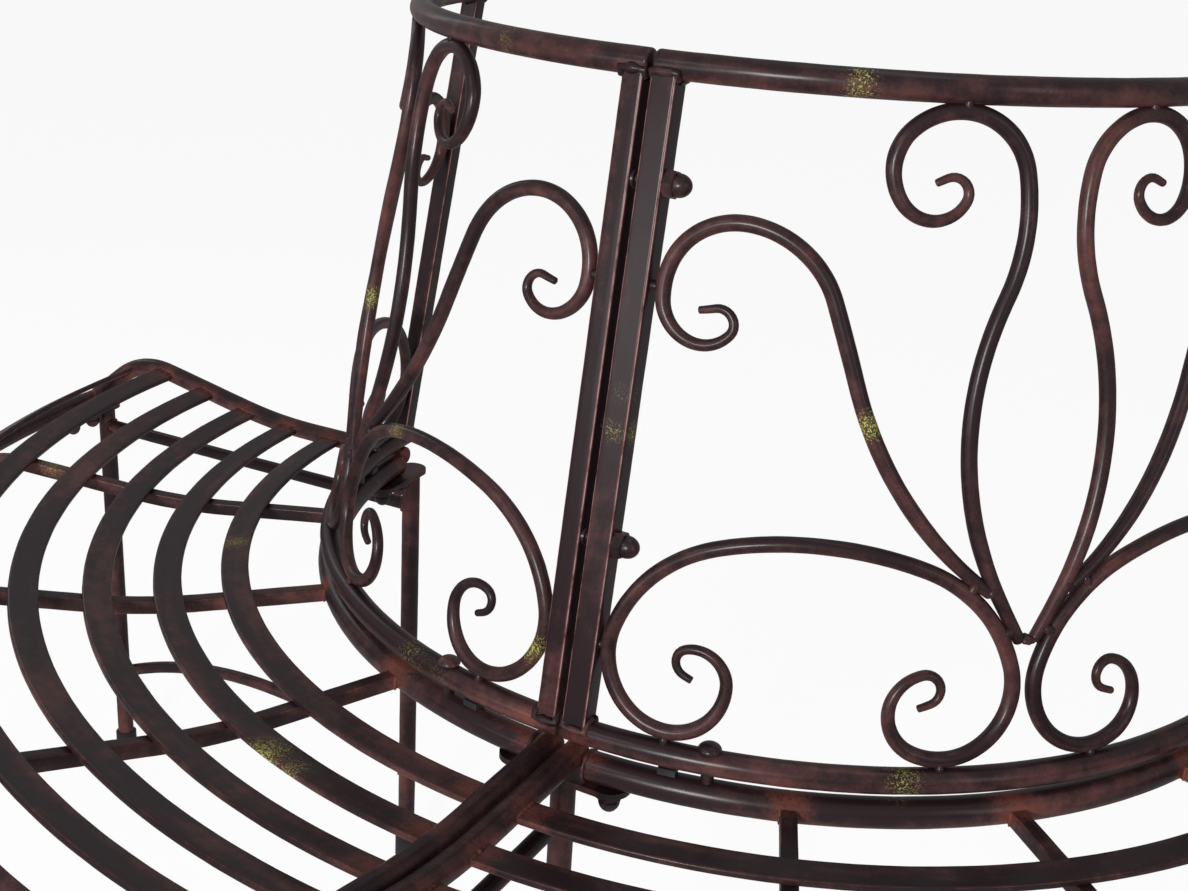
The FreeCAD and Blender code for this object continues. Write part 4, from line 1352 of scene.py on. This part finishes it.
def make_floor():
    """Pale disc that shows nearly white and keeps the bench's shadow."""
    paint, graph = new_material("pale_floor")
    white = graph.out("ShaderNodeEmission", 0, None, {"Color": (1, 1, 1, 1), "Strength": 1.0})
    matt = graph.out("ShaderNodeBsdfDiffuse", 0, None, {"Color": (0.86, 0.86, 0.86, 1)})
    shown = seen_directly(graph) * FLOOR_WHITE
    shader = graph.out("ShaderNodeMixShader", 0, None, {0: shown, 1: matt, 2: white})
    graph.node("ShaderNodeOutputMaterial", None, {"Surface": shader})
    mesh = bmesh.new()
    bmesh.ops.create_circle(mesh, cap_ends=True, radius=FLOOR_RADIUS, segments=96)
    data = bpy.data.meshes.new("floor")
    mesh.to_mesh(data)
    mesh.free()
    data.materials.append(paint)
    floor = placed("floor", data)
    floor.location = (0, 0, -0.5 * MM)


def make_world():
    """Plain surroundings: white where they are seen, and dimmer as a light."""
    world = bpy.data.worlds.new("studio")
    world.use_nodes = True
    graph = Graph(world.node_tree)
    level = seen_directly(graph) * (1 - WORLD_LEVEL) + WORLD_LEVEL
    sky = graph.out("ShaderNodeBackground", 0, None, {"Color": (1, 1, 1, 1), "Strength": level})
    graph.node("ShaderNodeOutputWorld", None, {"Surface": sky})
    bpy.context.scene.world = world


def make_lamps():
    """Softboxes round the bench."""
    for name, (location, aim, size, power) in LAMPS.items():
        lamp = bpy.data.lights.new(name, "AREA")
        lamp.shape = "RECTANGLE"
        lamp.size, lamp.size_y = size
        lamp.energy = power
        thing = placed(name, lamp)
        thing.location = location
        thing.rotation_mode = "QUATERNION"
        thing.rotation_quaternion = (Vector(aim) - Vector(location)).to_track_quat("-Z", "Y")


def make_camera():
    """Camera in front of the bench and a little above its backrest, turned down toward it."""
    data = bpy.data.cameras.new("camera")
    data.sensor_width = 36
    data.lens = CAMERA_LENS
    data.clip_start = 0.01
    data.clip_end = 50
    thing = placed("camera", data)
    place = station(CAMERA_AZIMUTH, CAMERA_DISTANCE, 0, BOTTOM.height + CAMERA_ABOVE_RAIL)
    yaw = CAMERA_YAW - CAMERA_AZIMUTH
    ahead = Vector((math.sin(yaw) * math.cos(CAMERA_PITCH), math.cos(yaw) * math.cos(CAMERA_PITCH),
                    -math.sin(CAMERA_PITCH)))
    level = Vector((math.cos(yaw), -math.sin(yaw), 0))
    above = level.cross(ahead)
    right = level * math.cos(CAMERA_ROLL) + above * math.sin(CAMERA_ROLL)
    up = above * math.cos(CAMERA_ROLL) - level * math.sin(CAMERA_ROLL)
    turn = Matrix((right, up, -ahead)).transposed().to_4x4()
    thing.matrix_world = Matrix.Translation(place) @ turn
    bpy.context.scene.camera = thing


class TREEBENCH_OT_stage(bpy.types.Operator):
    """Set up the floor, lights, world and camera"""
    bl_idname = "treebench.stage"
    bl_label = "Stage"

    def execute(self, context):
        make_floor()
        make_world()
        make_lamps()
        make_camera()
        context.scene.view_settings.view_transform = "Standard"
        return {"FINISHED"}


# Add-on


OPERATORS = (TREEBENCH_OT_rails, TREEBENCH_OT_posts, TREEBENCH_OT_scrolls, TREEBENCH_OT_seat,
             TREEBENCH_OT_legs, TREEBENCH_OT_welds, TREEBENCH_OT_fasteners, TREEBENCH_OT_stage)


class VIEW3D_PT_tree_bench(bpy.types.Panel):
    """Sizes, colours and steps of the tree bench"""
    bl_label = "Tree bench"
    bl_idname = "VIEW3D_PT_tree_bench"
    bl_space_type = "VIEW_3D"
    bl_region_type = "UI"
    bl_category = "Tree bench"

    def draw(self, context):
        for group in (context.scene.tree_bench_sizes, context.scene.tree_bench_colours):
            for name in group.__annotations__:
                self.layout.prop(group, name)
        for operator in OPERATORS:
            self.layout.operator(operator.bl_idname)


CLASSES = (TreeBenchSizes, TreeBenchColours, *OPERATORS, VIEW3D_PT_tree_bench)


def register():
    for each in CLASSES:
        bpy.utils.register_class(each)
    bpy.types.Scene.tree_bench_sizes = bpy.props.PointerProperty(type=TreeBenchSizes)
    bpy.types.Scene.tree_bench_colours = bpy.props.PointerProperty(type=TreeBenchColours)


def unregister():
    del bpy.types.Scene.tree_bench_colours
    del bpy.types.Scene.tree_bench_sizes
    for each in reversed(CLASSES):
        bpy.utils.unregister_class(each)


def main():
    register()
    note_welds()
    note_verdigris()
    bpy.ops.treebench.rails()
    bpy.ops.treebench.posts()
    bpy.ops.treebench.scrolls()
    bpy.ops.treebench.seat()
    bpy.ops.treebench.legs()
    bpy.ops.treebench.welds()
    bpy.ops.treebench.fasteners()
    bpy.ops.treebench.stage()


if __name__ == "__main__":
    main()
